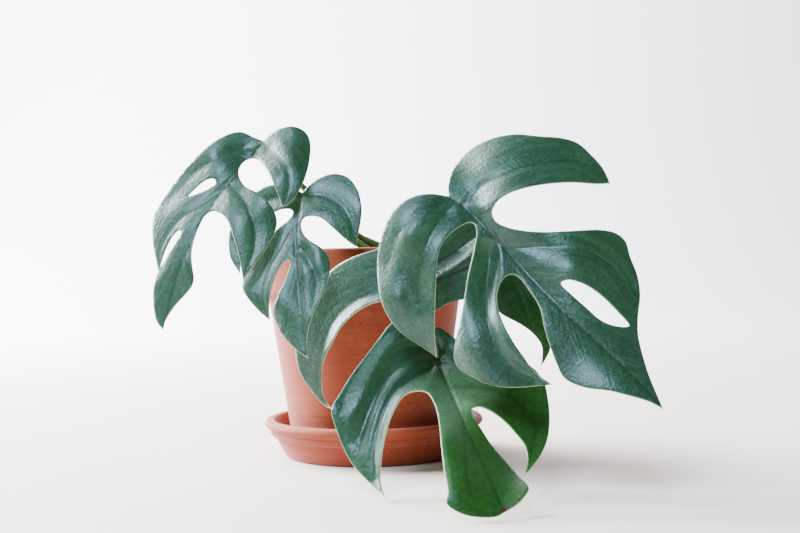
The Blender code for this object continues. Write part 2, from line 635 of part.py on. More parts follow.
def stem_mesh(name, grow=0.0):
    """The climbing stem: joints a little thicker than the stretches between them, and a pointed new sheath."""
    route = smooth_line(np.array(STEM_ROUTE) * MM, STEM_STEP)
    shape = bmesh.new()
    rings = []
    for k, at in enumerate(route):
        share = k / (len(route) - 1)
        swell = 1 + 0.13 * math.cos(share * 5 * 2 * math.pi)
        taper = min(1.0, 3.2 * (1 - share) + 0.22)
        radius = STEM_RADIUS * swell * taper + grow
        before, after = route[max(k - 1, 0)], route[min(k + 1, len(route) - 1)]
        facing = Vector(after - before).normalized().to_track_quat("Z", "Y")
        ring = []
        for side in range(12):
            turn = 2 * math.pi * side / 12
            ring.append(shape.verts.new(Vector(at) + facing @ Vector((radius * math.cos(turn),
                                                                       radius * math.sin(turn), 0))))
        rings.append(ring)
    for low, high in zip(rings, rings[1:]):
        for side in range(12):
            after = (side + 1) % 12
            shape.faces.new((low[side], low[after], high[after], high[side]))
    shape.faces.new(rings[0][::-1])
    shape.faces.new(rings[-1])
    mesh = bpy.data.meshes.new(name)
    shape.to_mesh(mesh)
    shape.free()
    return mesh


def add_soil(collection, cutter):
    """The soil: fills the pot from its floor to under the rim, with a low crown and a hole for the stem."""
    floor = SAUCER_FLOOR + POT_FLOOR + 2 * FIT_GAP
    inner = pot_radius(SOIL_TOP) - POT_WALL - FIT_GAP - 0.1 * MM
    bottom = pot_radius(floor) - POT_WALL - 3 * MM - FIT_GAP
    profile = [(0, SOIL_TOP + SOIL_CROWN)]
    for ring in range(1, SOIL_RINGS):
        share = ring / SOIL_RINGS
        profile.append((inner * share, SOIL_TOP + SOIL_CROWN * math.cos(share * math.pi / 2)))
    profile += [
        (inner, SOIL_TOP),
        (pot_radius(floor + 4 * MM) - POT_WALL - FIT_GAP - 0.1 * MM, floor + 4 * MM),
        (bottom, floor),
        (0, floor),
    ]
    soil = turned("soil", profile, SOIL, collection, POT_X)
    cut(soil, cutter)
    return soil


def leaf_base(leaf):
    """Where a leaf's petiole meets its blade."""
    at = np.array([leaf["runs"][0][0]], float)
    forward = sheet_of(leaf["sheet"])(at)
    return carried(at, forward)[0]


def petiole_mesh(leaf_name):
    """A leaf stalk: out of the stem's middle, along its way points, to just short of its own blade."""
    leaf = LEAVES[leaf_name]
    sheet = bmesh.new()
    sheet.from_mesh(blade_mesh("sheet_" + leaf_name, leaf))
    blade = BVHTree.FromBMesh(sheet)
    sheet.free()
    route = smooth_line(np.vstack([np.array(PETIOLES[leaf_name]) * MM, leaf_base(leaf)]), 0.5 * MM)
    clear = TIP_RADIUS + BLADE_THICKNESS / 2 + 2 * FIT_GAP
    free = [blade.find_nearest(Vector(at))[3] > clear for at in route]
    return tube_mesh("petiole_" + leaf_name, route[:free.index(False)], PETIOLE_RADIUS, knee=KNEE_RADIUS)


def add_stem(collection, petioles):
    """The stem with its petioles grown out of it; each ends close behind its blade."""
    stem = add_object("stem", stem_mesh("stem"), STEM_GREEN, collection)
    stem.data.shade_smooth()
    for leaf_name in LEAVES:
        add_cutter("petiole_" + leaf_name, petiole_mesh(leaf_name), petioles)
    join = stem.modifiers.new("petioles", "BOOLEAN")
    join.operand_type = "COLLECTION"
    join.collection = petioles
    join.operation = "UNION"
    join.solver = "EXACT"
    return stem


def main():
    for obj in list(bpy.data.objects):
        bpy.data.objects.remove(obj, do_unlink=True)
    plant = bpy.data.collections.new("mini_monstera")
    helpers = bpy.data.collections.new("cutters")
    bpy.context.scene.collection.children.link(plant)
    bpy.context.scene.collection.children.link(helpers)
    helpers.hide_render = True
    petioles = bpy.data.collections.new("petioles")
    bpy.context.scene.collection.children.link(petioles)
    petioles.hide_render = True

    add_saucer(plant)
    add_pot(plant)
    add_stem(plant, petioles)
    stem_space = add_cutter("stem_space", stem_mesh("stem_space", grow=FIT_GAP), helpers)
    add_soil(plant, stem_space)
    for leaf_name, leaf in LEAVES.items():
        add_blade("leaf_" + leaf_name, leaf, plant)


main()
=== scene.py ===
"""Mini monstera in its clay pot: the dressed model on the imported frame, as a small Blender add-on.

The leaves are drawn as they are seen from a level viewpoint in front of the pot: an outline point is a
sight line from that viewpoint, and each leaf has its own curved sheet in space, which the sight lines are
carried to.
"""

import math

import bmesh
import bpy
import numpy as np
from bpy.props import FloatProperty, IntProperty, PointerProperty
from bpy.types import Operator, Panel, PropertyGroup
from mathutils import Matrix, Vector
from mathutils.geometry import delaunay_2d_cdt
from mathutils.kdtree import KDTree


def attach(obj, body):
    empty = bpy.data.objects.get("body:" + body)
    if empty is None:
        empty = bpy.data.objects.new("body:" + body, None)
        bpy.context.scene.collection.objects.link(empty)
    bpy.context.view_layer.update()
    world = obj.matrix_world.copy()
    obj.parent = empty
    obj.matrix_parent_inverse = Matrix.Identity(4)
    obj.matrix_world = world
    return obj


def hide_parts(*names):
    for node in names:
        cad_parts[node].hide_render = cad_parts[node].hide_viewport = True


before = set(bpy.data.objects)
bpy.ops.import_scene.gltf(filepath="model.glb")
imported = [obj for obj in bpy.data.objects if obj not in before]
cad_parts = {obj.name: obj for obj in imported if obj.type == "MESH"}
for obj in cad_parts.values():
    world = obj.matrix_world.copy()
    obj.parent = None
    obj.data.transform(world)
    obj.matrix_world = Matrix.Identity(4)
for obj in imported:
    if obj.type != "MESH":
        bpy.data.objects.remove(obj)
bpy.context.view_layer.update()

bl_info = {
    "name": "Mini Monstera",
    "version": (1, 0, 0),
    "blender": (4, 5, 0),
    "location": "3D View > Sidebar > Plant",
    "description": "Dresses the packed mini monstera with leaves, stalks, soil, clay and studio light",
    "category": "Object",
}

MM = 0.001
PLANT = "mini_monstera"

# Pot and saucer, a matched set of the 120 mm size
POT_X = -4 * MM
POT_RIM_RADIUS = 60 * MM
POT_RIM_TOP = 113 * MM
POT_BAND_HEIGHT = 25 * MM
POT_BAND_PROUD = 3.5 * MM
POT_LIP_HEIGHT = 5.5 * MM
POT_GROOVE = 0.6 * MM
POT_TAPER = 0.147
POT_WALL = 5 * MM
POT_FLOOR = 6 * MM
POT_FOOT_ROUND = 2.5 * MM
DRAIN_RADIUS = 7 * MM
SAUCER_RADIUS = 60.3 * MM
SAUCER_FOOT_RADIUS = 48 * MM
SAUCER_HEIGHT = 21 * MM
SAUCER_FLOOR = 5 * MM
SAUCER_WALL = 5.2 * MM
FIT_GAP = 0.3 * MM

# Soil
SOIL_TOP = 97 * MM
SOIL_CROWN = 2.5 * MM

# Stem and petioles
STEM_RADIUS = 4.4 * MM
STEM_JOINTS = 5

# Leaves: how far in from the margin, in picture units, the sheet droops; the folds' shares are of a vein's
# length, and FOLD_MEETING says how sharply folds that meet are joined
MARGIN_REACH = 12
MARGIN_DROP = 0.15 * MM
FOLD_FADE = 0.6
FOLD_START = 0.35
FOLD_GROWS = 0.2
FOLD_MEETING = 3
FOLD_STEP = 6

# How finely the pieces are made; VEIN_STEP and FOLD_STEP are in picture units
CLAY_STEPS = 160
CLAY_PART = 5 * MM
CORNER_ROUND = 0.9 * MM
SOIL_PARTS = 45
BED_PARTS = 23
BED_STEPS = 64
TUBE_SIDES = 18
STEM_STEP = 0.5 * MM
STALK_STEP = 1.1 * MM
VEIN_STEP = 3

# Where a stalk ends: so far along the midrib in picture units, and behind the blade by this much
STALK_INTO_BLADE = 5
STALK_BEHIND = np.array([0, 1.3, -0.3]) * MM

# A stalk's radii in millimetres: (from the blade, radius) at its knee, (from the stem, radius) at its sheath
KNEE_LENGTH = 13
KNEE = [(0, 0.8), (1.5, 1.3), (5, 2.2), (9, 2.15), (13, 1.7)]
SHEATH = [(0, 2.6), (4, 2.9), (14, 2.5), (24, 2.05), (26, 1.7)]
STALK_GROOVE = 0.22

# Half of a blade's thickness at its margin and further in, and how many millimetres in it is full
RIM_HALF = 0.22 * MM
BODY_HALF = 0.34 * MM
BODY_REACH = 3

# The ribs under a blade: height, and half width in millimetres; the midrib gets lower towards the apex
MIDRIB = (0.9 * MM, 1.0)
SIDE_RIB = (0.3 * MM, 0.7)
MIDRIB_FADE = 0.75

# The fine veins, in picture units: how far the midrib is drawn on past its base and its tip to spread them
# from it, and the steps along it and along the side veins
RIB_BACK = 250
RIB_ON = 60
SPREAD_STEPS = (6, 9)

# The soil's crumbs: least and greatest size, how far they stay from the pot's wall, and how lumpy they are
CRUMB_SIZES = (0.6 * MM, 1.9 * MM)
CRUMB_MARGIN = 2.5 * MM
CRUMB_LUMPS = 1.6 * MM
CRUMB_INPUTS = {"Surface": "Geometry", "Spacing": "Float", "Smallest": "Float", "Largest": "Float",
                "Seed": "Int", "Material": "Material"}

# The narrow line at the bottom of each fold: depth in millimetres, reach to each side in picture units
RIB_LINE = (0.8, 2.6, 2.6)
SIDE_LINE = (0.6, 3.0, 3.0)

# The viewpoint that the leaves are drawn from, and its picture, 800 by 533 with sight lines in its own units
EYE = Vector((16 * MM, -639 * MM, 103 * MM))
FOCAL = 1150
PICTURE_WIDTH = 800
PICTURE_CENTRE = (400, 266.5)
TILT = math.radians(1.1)
SENSOR = 36

# About how many millimetres one picture unit is on the leaves, and one unit of the fine veins' coordinates
PICTURE_MM = 0.5
VEIN_UNIT = 100

# The stage
FLOOR_REACH = 4.0
FLOOR_BEND = 1.6
BEND_RADIUS = 0.7
BEND_PARTS = 14
WALL_HEIGHT = 3.0
SEEN_WALL = 1.6

# The lights: name, place, what it faces, width and height, its share of the window's power, and colour
MIDDLE = (0, -0.05, 0.09)
LIGHTS = [
    ("window_left", (-1.7, 0.8, 1.0), MIDDLE, (1.5, 1.5), 1, "#eef5ff"),
    ("soft_front", (-0.37, -1.1, 1.23), MIDDLE, (0.6, 0.5), 0.09, "#cfe6ff"),
    ("wall_wash", (-1.5, 0.9, 1.8), (-1.3, 2.4, 0.4), (2.0, 0.8), 0.6, "#ffffff"),
]

# Each leaf has its outline as runs that meet in sharp tips, its slots, its sheet as (x, y, millimetres in
# front of the saucer's middle) and its veins, the midrib first. The sheet is folded along each vein, and
# folds gives for each one its depth in millimetres and how far it reaches to each side in picture units.
LEAVES = {
    "upper_left": {
        "runs": [
            [(263, 141), (255, 138), (240, 132), (220, 138), (200, 153), (182, 173), (167, 193), (157, 209),
             (153, 218)],
            [(153, 218), (152, 230), (153, 245), (156, 260), (158, 271)],
            [(158, 271), (154, 284), (153, 296), (154, 311), (157, 322), (163, 330)],
            [(163, 330), (166, 320), (175, 306), (186, 294), (192, 286), (194, 278), (192.5, 268),
             (191.5, 254), (194, 240), (199, 227), (205, 216), (212, 211.3), (220, 213), (227, 220),
             (233, 236), (238, 252), (241, 267), (243, 280)],
            [(243, 280), (250, 270), (260, 257), (269, 244), (275.5, 230), (277, 221), (274, 211),
             (267, 201), (256, 192), (246, 187), (240, 179), (238.5, 171), (242, 164), (248, 159.5),
             (255, 158.5), (261, 162), (269, 174), (275, 187), (280, 200), (282, 207)],
            [(282, 207), (291, 202), (299, 191), (305, 178), (309, 163), (310.5, 147), (308, 136),
             (301, 129), (291, 126.5), (280, 128.5), (270, 134), (263, 141)],
        ],
        "slots": [
            [(188, 196.5), (194, 190), (201, 183.5), (209, 179), (215, 179.5), (215.5, 184), (209, 188.5),
             (198, 193.5)],
            [(160.5, 267), (163, 257), (167.5, 246), (173, 236), (179, 230.5), (181.5, 232.5), (178, 239),
             (170, 251)],
        ],
        "sheet": [(263, 142, 50), (246, 162, 57), (222, 192, 66), (197, 230, 74), (181, 268, 78),
                  (163, 330, 81), (240, 133, 49), (215, 160, 59), (190, 172, 55), (157, 210, 60),
                  (153, 245, 68), (185, 210, 67), (154, 295, 76), (192, 280, 79), (290, 128, 53),
                  (310, 150, 55), (290, 165, 68), (282, 207, 74), (262, 160, 60), (277, 221, 74),
                  (250, 215, 77), (243, 280, 86), (212, 212, 71)],
        "veins": [
            [(263, 142), (246, 162), (222, 192), (197, 230), (178, 272), (163, 330)],
            [(258, 148), (238, 150), (214, 160), (190, 178), (168, 202)],
            [(229, 183), (205, 203), (180, 220), (163, 245), (158, 268)],
            [(261, 146), (275, 154), (287, 168), (289, 185), (284, 202)],
            [(229, 184), (244, 200), (254, 225), (254, 250), (245, 275)],
        ],
        "folds": [(2.0, 12, 10), (2.0, 11, 11), (1.8, 10, 10), (2.2, 10, 10), (2.2, 10, 10)],
    },
    "lower_left": {
        "runs": [
            [(302, 193), (296, 189.5), (287, 185.5), (275, 184.5), (262, 188), (249, 198), (237, 213),
             (230, 229), (228.5, 245), (231, 259), (240, 274)],
            [(240, 274), (241, 262), (245, 248), (253, 234), (263, 222), (275, 212), (284, 209),
             (291, 209.5), (293, 213), (288, 220.5), (277, 229), (266, 241), (256, 254), (248, 267),
             (242.5, 280), (243, 290), (250, 301), (259, 311), (270, 320.5)],
            [(270, 320.5), (269, 309), (270, 297), (273, 283), (279, 269), (285, 261), (289.5, 259.5),
             (290, 265), (285, 280), (278, 295), (273.5, 310), (276, 323), (284, 337), (296, 349.5),
             (308.5, 359)],
            [(308.5, 359), (307, 347), (308, 332), (312.5, 316), (320, 300), (326.5, 284), (330, 268),
             (328, 256), (320, 247), (309, 240), (302.5, 232), (301, 224), (304, 218), (311, 216),
             (321, 218), (332, 227), (344, 238), (356, 247)],
            [(356, 247), (358, 235), (361, 220), (361.5, 206), (358, 191), (349, 178.5), (337, 174),
             (324, 176), (312, 183), (302, 193)],
        ],
        "slots": [],
        "sheet": [(302, 193, 62), (298, 218, 70), (296, 245, 76), (299, 285, 84), (303, 322, 91),
                  (308, 358, 96), (335, 175, 58), (361, 207, 69), (340, 205, 68), (356, 246, 74),
                  (312, 216, 70), (330, 264, 80), (315, 265, 83), (275, 186, 57), (250, 200, 55),
                  (229, 245, 66), (240, 274, 72), (262, 222, 62), (277, 229, 68), (243, 285, 77),
                  (270, 320, 84), (262, 275, 78), (275, 308, 86)],
        "veins": [
            [(302, 193), (298, 218), (296, 245), (298, 285), (302, 322), (308, 358)],
            [(303, 197), (322, 196), (342, 206), (353, 226), (355, 244)],
            [(299, 212), (283, 245), (268, 272), (262, 296), (269, 318)],
            [(300, 196), (280, 197), (256, 208), (240, 232), (239, 268)],
            [(298, 244), (310, 262), (317, 282), (314, 305)],
        ],
        "folds": [(2.2, 11, 10), (2.2, 11, 11), (2.0, 12, 10), (1.8, 10, 10), (2.8, 11, 9)],
    },
    "upper_right": {
        "runs": [
            [(449, 197), (448, 187), (451, 174), (460, 160), (473, 148), (491, 139), (515, 134.5),
             (540, 136.5), (560, 138), (577, 143), (592, 156), (603, 169), (610, 183.5)],
            [(610, 183.5), (596, 184), (572, 182.5), (548, 184), (525, 188), (507, 194.5), (496, 203),
             (492, 213), (496, 221.5), (507, 227), (523, 230.5), (545, 232), (572, 231), (600, 230),
             (615, 233), (625, 241), (630, 257), (637, 275), (640, 295), (638, 315), (638, 335), (642, 353),
             (649, 376), (663, 409)],
            [(663, 409), (650, 402), (630, 396), (610, 391), (590, 388.5), (574, 384), (563, 376.5),
             (556, 362), (550, 346), (544, 326), (540, 308), (531, 293), (519, 277.5), (512, 274.5),
             (504, 278), (498, 289), (497, 302), (502, 320), (512, 340), (523, 356), (535, 372),
             (552, 384.5)],
            [(552, 384.5), (537, 386), (518, 387.5), (500, 387), (485, 383), (470, 375.5), (459, 368),
             (454.5, 357), (456, 340), (460, 322), (464, 300), (468, 276), (474, 250), (476.5, 234),
             (475, 225), (470, 222.5), (461, 226), (450, 234), (441, 246), (437, 262), (436, 285),
             (435, 308), (434.5, 332), (437, 357)],
            [(437, 357), (424, 348), (410, 339), (398, 329.5), (388, 316), (381, 300), (378, 281),
             (377.5, 262), (380, 243), (388, 219), (398, 206), (411, 197.5), (428, 194), (440, 195),
             (449, 197)],
        ],
        "slots": [
            [(561, 283), (567, 280), (577, 281.5), (590, 287.5), (604, 298), (617, 311), (629, 326),
             (615, 326), (601, 320.5), (587, 308.5), (572, 295)],
        ],
        "sheet": [(449, 197, 108), (475, 217, 112), (505, 248, 118), (540, 287, 126), (585, 332, 136),
                  (625, 370, 144), (663, 409, 150), (460, 160, 92), (488, 168, 105), (515, 136, 93),
                  (530, 165, 108), (507, 193, 117), (560, 182, 111), (575, 143, 92), (610, 183, 99),
                  (492, 212, 117), (545, 234, 120), (612, 234, 110), (640, 295, 116), (575, 265, 128),
                  (638, 345, 130), (428, 195, 109), (405, 235, 118), (378, 262, 110), (410, 300, 120),
                  (425, 325, 121), (433, 330, 121), (400, 300, 121), (437, 357, 119), (471, 223, 114),
                  (455, 350, 132), (487, 320, 138), (500, 387, 143), (552, 384, 142), (512, 275, 122),
                  (560, 365, 140)],
        "veins": [
            [(449, 197), (475, 217), (500, 243), (540, 287), (585, 332), (625, 370), (663, 409)],
            [(462, 207), (480, 188), (508, 173), (540, 164), (575, 162), (604, 178)],
            [(456, 203), (436, 226), (422, 256), (417, 282), (418, 302)],
            [(493, 237), (489, 259), (487, 278), (486, 297), (487, 314), (491, 332), (497, 347), (505, 360),
             (516, 371), (533, 379)],
            [(505, 248), (545, 247), (583, 252), (612, 268), (630, 300)],
            [(451, 200), (420, 212), (398, 235), (388, 265)],
        ],
        "folds": [(2.2, 12, 12), (3.0, 14, 13), (3.0, 15, 10), (7.5, 18, 9), (1.2, 11, 11), (1.2, 10, 10)],
    },
    "middle_right": {
        "runs": [
            [(478, 219), (462, 212), (442, 216), (418, 228), (396, 241), (377, 249), (352, 257.5),
             (333, 269), (318, 286), (305, 308), (297.5, 332), (296, 356), (300.5, 374), (308, 386),
             (316, 396.5), (324, 405), (333, 410)],
            [(333, 410), (327.5, 403), (323.7, 396), (321.8, 384), (322.3, 368), (325.2, 357), (331, 345),
             (342, 326), (358, 311), (376, 302.5), (390, 302), (400, 307), (408, 315)],
            [(408, 315), (418, 316), (428, 315), (437, 310.5), (446, 304.5), (458, 300.5), (474, 299.5),
             (490, 304), (503, 315), (520, 324), (534, 334.5), (542, 347), (541, 367)],
            [(541, 367), (549, 352), (553, 335), (552, 318), (547, 300), (546, 288), (551, 281), (555, 270),
             (554, 258), (546, 247), (531, 240), (513, 233), (496, 225), (478, 219)],
        ],
        "slots": [],
        "sheet": [(478, 219, 94), (497, 250, 97), (515, 285, 99), (530, 325, 99), (541, 367, 97),
                  (442, 217, 88), (400, 240, 82), (377, 250, 78), (333, 270, 70), (305, 310, 67),
                  (297, 345, 67), (332, 408, 75), (320, 350, 76), (360, 285, 82), (380, 302, 88),
                  (408, 315, 91), (437, 310, 94), (435, 265, 92), (474, 300, 98), (548, 260, 90),
                  (551, 330, 96)],
        "veins": [
            [(478, 219), (497, 250), (514, 285), (530, 325), (541, 366)],
            [(484, 229), (440, 262), (405, 280), (377, 290.5), (358, 299), (344, 309.5), (334, 321),
             (328.5, 332), (324.5, 345), (320.8, 360), (319, 375), (319, 390), (325, 403)],
            [(500, 256), (462, 270), (430, 288), (412, 309)],
            [(490, 239), (515, 248), (540, 262)],
        ],
        "folds": [(2.4, 12, 12), (8.0, 28, 9), (1.6, 12, 12), (1.2, 11, 11)],
    },
    "bottom_front": {
        "runs": [
            [(437, 354), (427, 346), (421, 336), (409, 326), (393, 322.5), (381, 336), (368, 353),
             (352, 374), (339, 395), (331.5, 409), (335, 426), (343, 447), (353, 465), (367, 480.5),
             (384, 496)],
            [(384, 496), (380.5, 482), (381, 464), (385, 438), (393, 413), (404, 396), (416, 391.3),
             (427, 393), (434, 403), (438.5, 420), (441, 445), (444, 470), (447.5, 491), (446.5, 503),
             (454, 510), (467, 515.5), (482, 517.5), (497, 516.5), (505, 512)],
            [(505, 512), (516, 505.5), (525, 496), (529, 488), (518, 476), (505, 461), (492, 446),
             (481, 429), (473, 416), (471.5, 409.5), (478, 407), (489, 410.5), (504, 421), (517, 435),
             (525, 446), (527.5, 459), (524, 476)],
            [(524, 476), (533, 466), (542, 453), (548, 437), (549.5, 418), (548, 400), (544, 383),
             (535, 370), (518, 359), (496, 351), (474, 345), (457, 339.5), (448, 333), (440, 327.5),
             (435.5, 327), (434, 334), (435, 345), (437, 354)],
        ],
        "slots": [],
        "sheet": [(437, 354, 93), (446, 380, 108), (457, 408, 128), (472, 443, 149), (488, 478, 162),
                  (505, 512, 174), (393, 323, 91), (331, 409, 116), (365, 370, 104), (375, 430, 122),
                  (384, 496, 137), (416, 391, 116), (400, 355, 97), (447, 500, 176), (482, 517, 177),
                  (529, 488, 164), (440, 328, 90), (500, 352, 93), (549, 418, 118), (505, 395, 121),
                  (524, 476, 150), (478, 408, 129), (441, 440, 154)],
        "veins": [
            [(437, 354), (445, 380), (457, 408), (472, 443), (488, 478), (505, 512)],
            [(442, 364), (424, 371), (408, 381), (395, 392), (385.5, 410), (378.5, 433), (375, 455),
             (377, 478)],
            [(449, 388), (485, 390), (515, 402), (534, 428), (530, 460)],
            [(441, 361), (425, 349), (411, 347), (397.5, 357), (386, 375), (378, 393), (368, 416),
             (360, 438)],
            [(463, 420), (464, 455), (470, 495)],
            [(436, 352), (418, 338), (400, 328), (382, 339), (366, 359), (353, 380), (344, 400)],
        ],
        "folds": [(2.2, 12, 12), (6.0, 8, 9), (2.0, 12, 12), (6.0, 10, 13), (0.6, 12, 12), (3.0, 8, 11)],
    },
}

# Petioles: where each leaves the stem and its way points, in millimetres; each ends behind its leaf's base.
PETIOLES = {
    "upper_left": [(12.5, 3.5, 104), (-7.5, -3, 117), (-30, -27, 141.5)],
    "lower_left": [(13.5, -1, 110), (-6, -22, 120), (-20, -42, 132)],
    "upper_right": [(15, -4, 117), (22, -40, 131), (31, -76, 136.5)],
    "middle_right": [(13, 1.5, 107), (30, -40, 117), (43, -68, 122.5)],
    "bottom_front": [(13, 0.5, 108), (14, -9, 109.5), (16, -36, 118.5), (20, -61, 119.5), (24, -77, 105),
                     (25.5, -86, 84)],
}
STEM_ROUTE = [(10, 12, 84), (12, 7, 97), (13, 1, 108), (15, -4, 118), (18, -7, 127)]

# The damaged spot at the lowest leaf's apex, in the picture
SCAR_LEAF = "leaf_bottom_front"
SCAR = (505, 509)
SCAR_SIZE = 4.5

# Painted back-lit green on two leaves: a saturated green painted where light shining through the blade and
# little sheen make them look greener; in the picture, from where the plain green ends to where the painted
# green is full
BACKLIT_GREEN = {"leaf_bottom_front": ((415, 365), (480, 425)), "leaf_middle_right": ((470, 270), (548, 345))}


def smooth_line(points, step):
    """Points a step apart along a centripetal Catmull-Rom curve through the given ones."""
    p = np.array(points, float)
    p = np.vstack([2 * p[0] - p[1], p, 2 * p[-1] - p[-2]])
    made = [p[1]]
    for a, b, c, d in zip(p, p[1:], p[2:], p[3:]):
        t = np.cumsum([0] + [max(np.linalg.norm(v), 1e-9) ** 0.5 for v in (b - a, c - b, d - c)])
        for s in np.linspace(t[1], t[2], 17)[1:]:
            ab = ((t[1] - s) * a + (s - t[0]) * b) / (t[1] - t[0])
            bc = ((t[2] - s) * b + (s - t[1]) * c) / (t[2] - t[1])
            cd = ((t[3] - s) * c + (s - t[2]) * d) / (t[3] - t[2])
            ac = ((t[2] - s) * ab + (s - t[0]) * bc) / (t[2] - t[0])
            bd = ((t[3] - s) * bc + (s - t[1]) * cd) / (t[3] - t[1])
            made.append(((t[2] - s) * ac + (s - t[1]) * bd) / (t[2] - t[1]))
    made = np.array(made)
    along = np.concatenate([[0], np.cumsum(np.linalg.norm(np.diff(made, axis=0), axis=1))])
    places = np.linspace(0, along[-1], max(2, round(along[-1] / step) + 1))
    return np.column_stack([np.interp(places, along, made[:, k]) for k in range(made.shape[1])])


def sheet_of(stations):
    """The leaf's sheet: a thin plate bent through its stations, as depth over the picture."""
    s = np.array(stations, float)
    centre, span = s[:, :2].mean(0), 100.0

    def bend(a, b):
        r2 = ((a[:, None] - b[None]) ** 2).sum(2) + 1e-12
        return 0.5 * r2 * np.log(r2)

    at = (s[:, :2] - centre) / span
    n = len(s)
    flat = np.column_stack([np.ones(n), at])
    system = np.block([[bend(at, at) + 0.002 * np.eye(n), flat], [flat.T, np.zeros((3, 3))]])
    weights = np.linalg.solve(system, np.concatenate([s[:, 2], np.zeros(3)]))

    def depth(points):
        q = (np.atleast_2d(points)[:, :2] - centre) / span
        return bend(q, at) @ weights[:n] + np.column_stack([np.ones(len(q)), q]) @ weights[n:]

    return depth


def nearest_on(points, line):
    """For each point: distance to a polyline, length along it, and which side of it the point is on."""
    a, b = line[:-1], line[1:]
    ab = b - a
    length = np.linalg.norm(ab, axis=1)
    start = np.concatenate([[0], np.cumsum(length)[:-1]])
    found = []
    for block in np.array_split(points, len(points) // 2000 + 1):
        ap = block[:, None] - a
        t = np.clip((ap * ab).sum(2) / length ** 2, 0, 1)
        away = np.linalg.norm(ap - t[..., None] * ab, axis=2)
        k = away.argmin(1)
        rows = np.arange(len(block))
        side = np.sign(ab[k, 0] * ap[rows, k, 1] - ab[k, 1] * ap[rows, k, 0])
        found.append(np.column_stack([away[rows, k], start[k] + t[rows, k] * length[k], side]))
    return np.vstack(found).T


def carried(points, forward):
    """Picture points carried along their sight lines, to so many mm in front of the saucer's middle."""
    u, v = points[:, 0] - PICTURE_CENTRE[0], PICTURE_CENTRE[1] - points[:, 1]
    across = u * math.cos(TILT) + v * math.sin(TILT)
    up = v * math.cos(TILT) - u * math.sin(TILT)
    reach = -EYE.y - forward * MM
    return np.column_stack([EYE.x + across / FOCAL * reach, EYE.y + reach, EYE.z + up / FOCAL * reach])


def folded(points, vein, fold, step):
    """Millimetres that one folded vein sets the sheet back by: little at first, most soon, then fading."""
    depth, left, right = fold
    line = smooth_line(vein, step)
    away, along, side = nearest_on(points, line)
    along = along / np.linalg.norm(np.diff(line, axis=0), axis=1).sum()
    swell = np.clip(FOLD_START + along / FOLD_GROWS, 0, 1) * (1 - FOLD_FADE * along)
    return depth * np.exp(-((away / np.where(side > 0, left, right)) ** 2)) * swell


def relief(points, leaf, edge):
    """Millimetres that the folded veins and the drooping margin set the sheet back by."""
    folds = [folded(points, vein, fold, FOLD_STEP) for vein, fold in zip(leaf["veins"], leaf["folds"])]
    droop = MARGIN_DROP / MM * np.clip(1 - edge / MARGIN_REACH, 0, 1) ** 2
    return (np.array(folds) ** FOLD_MEETING).sum(0) ** (1 / FOLD_MEETING) + droop


def inside(points, loop):
    """Which points a closed loop holds."""
    x, y = points[:, :1], points[:, 1:2]
    a, b = loop, np.roll(loop, -1, axis=0)
    crosses = (a[:, 1] > y) != (b[:, 1] > y)
    rise = np.where(b[:, 1] == a[:, 1], 1e-9, b[:, 1] - a[:, 1])
    left = x < (b[:, 0] - a[:, 0]) * (y - a[:, 1]) / rise + a[:, 0]
    return (crosses & left).sum(1) % 2 == 1


def closed_loop(points, step):
    """A smooth closed loop through the points."""
    p = np.array(points, float)
    around = smooth_line(np.vstack([p[-2:], p, p[:3]]), 1)
    away = np.linalg.norm(around - p[0], axis=1)
    half = len(around) // 2
    keep = around[away[:half].argmin():half + away[half:].argmin()]
    count = max(6, round(len(keep) / step))
    return keep[np.linspace(0, len(keep), count, endpoint=False).astype(int)]


def away_from(points, lines):
    """How far each point is from the nearest of several polylines."""
    return np.min([nearest_on(points, line)[0] for line in lines], axis=0)


def creased(points, leaf):
    """Millimetres that the narrow lines at the bottom of the folds set the sheet back by."""
    narrow = [RIB_LINE] + [SIDE_LINE] * (len(leaf["veins"]) - 1)
    return sum(folded(points, vein, line, VEIN_STEP) for vein, line in zip(leaf["veins"], narrow))


def vein_coordinates(points, leaf):
    """For each point, a number that stays the same along the fine veins, and its distance from the midrib.

    On each side of the midrib the number is spread from the midrib and the drawn veins over the blade."""
    rib = smooth_line(leaf["veins"][0], SPREAD_STEPS[0])
    back = rib[0] + (rib[0] - rib[2]) / np.linalg.norm(rib[0] - rib[2]) * RIB_BACK
    far = rib[-1] + (rib[-1] - rib[-3]) / np.linalg.norm(rib[-1] - rib[-3]) * RIB_ON
    ends = np.vstack([back, rib, far])
    away, _, side = nearest_on(points, ends)
    arc = nearest_on(rib, rib)[1]
    number = np.zeros(len(points))
    for way in (-1, 1):
        stations = [(*p, q) for p, q in zip(rib, arc)]
        for vein in leaf["veins"][1:]:
            line = smooth_line(vein, SPREAD_STEPS[1])
            if nearest_on(line[len(line) // 2][None], ends)[2][0] != way:
                continue
            origin = nearest_on(line[:1], rib)[1][0]
            stations += [(*p, origin) for p in line[1:]]
        here = side == way
        if here.any():
            number[here] = sheet_of(stations)(points[here])
    return number, away * side


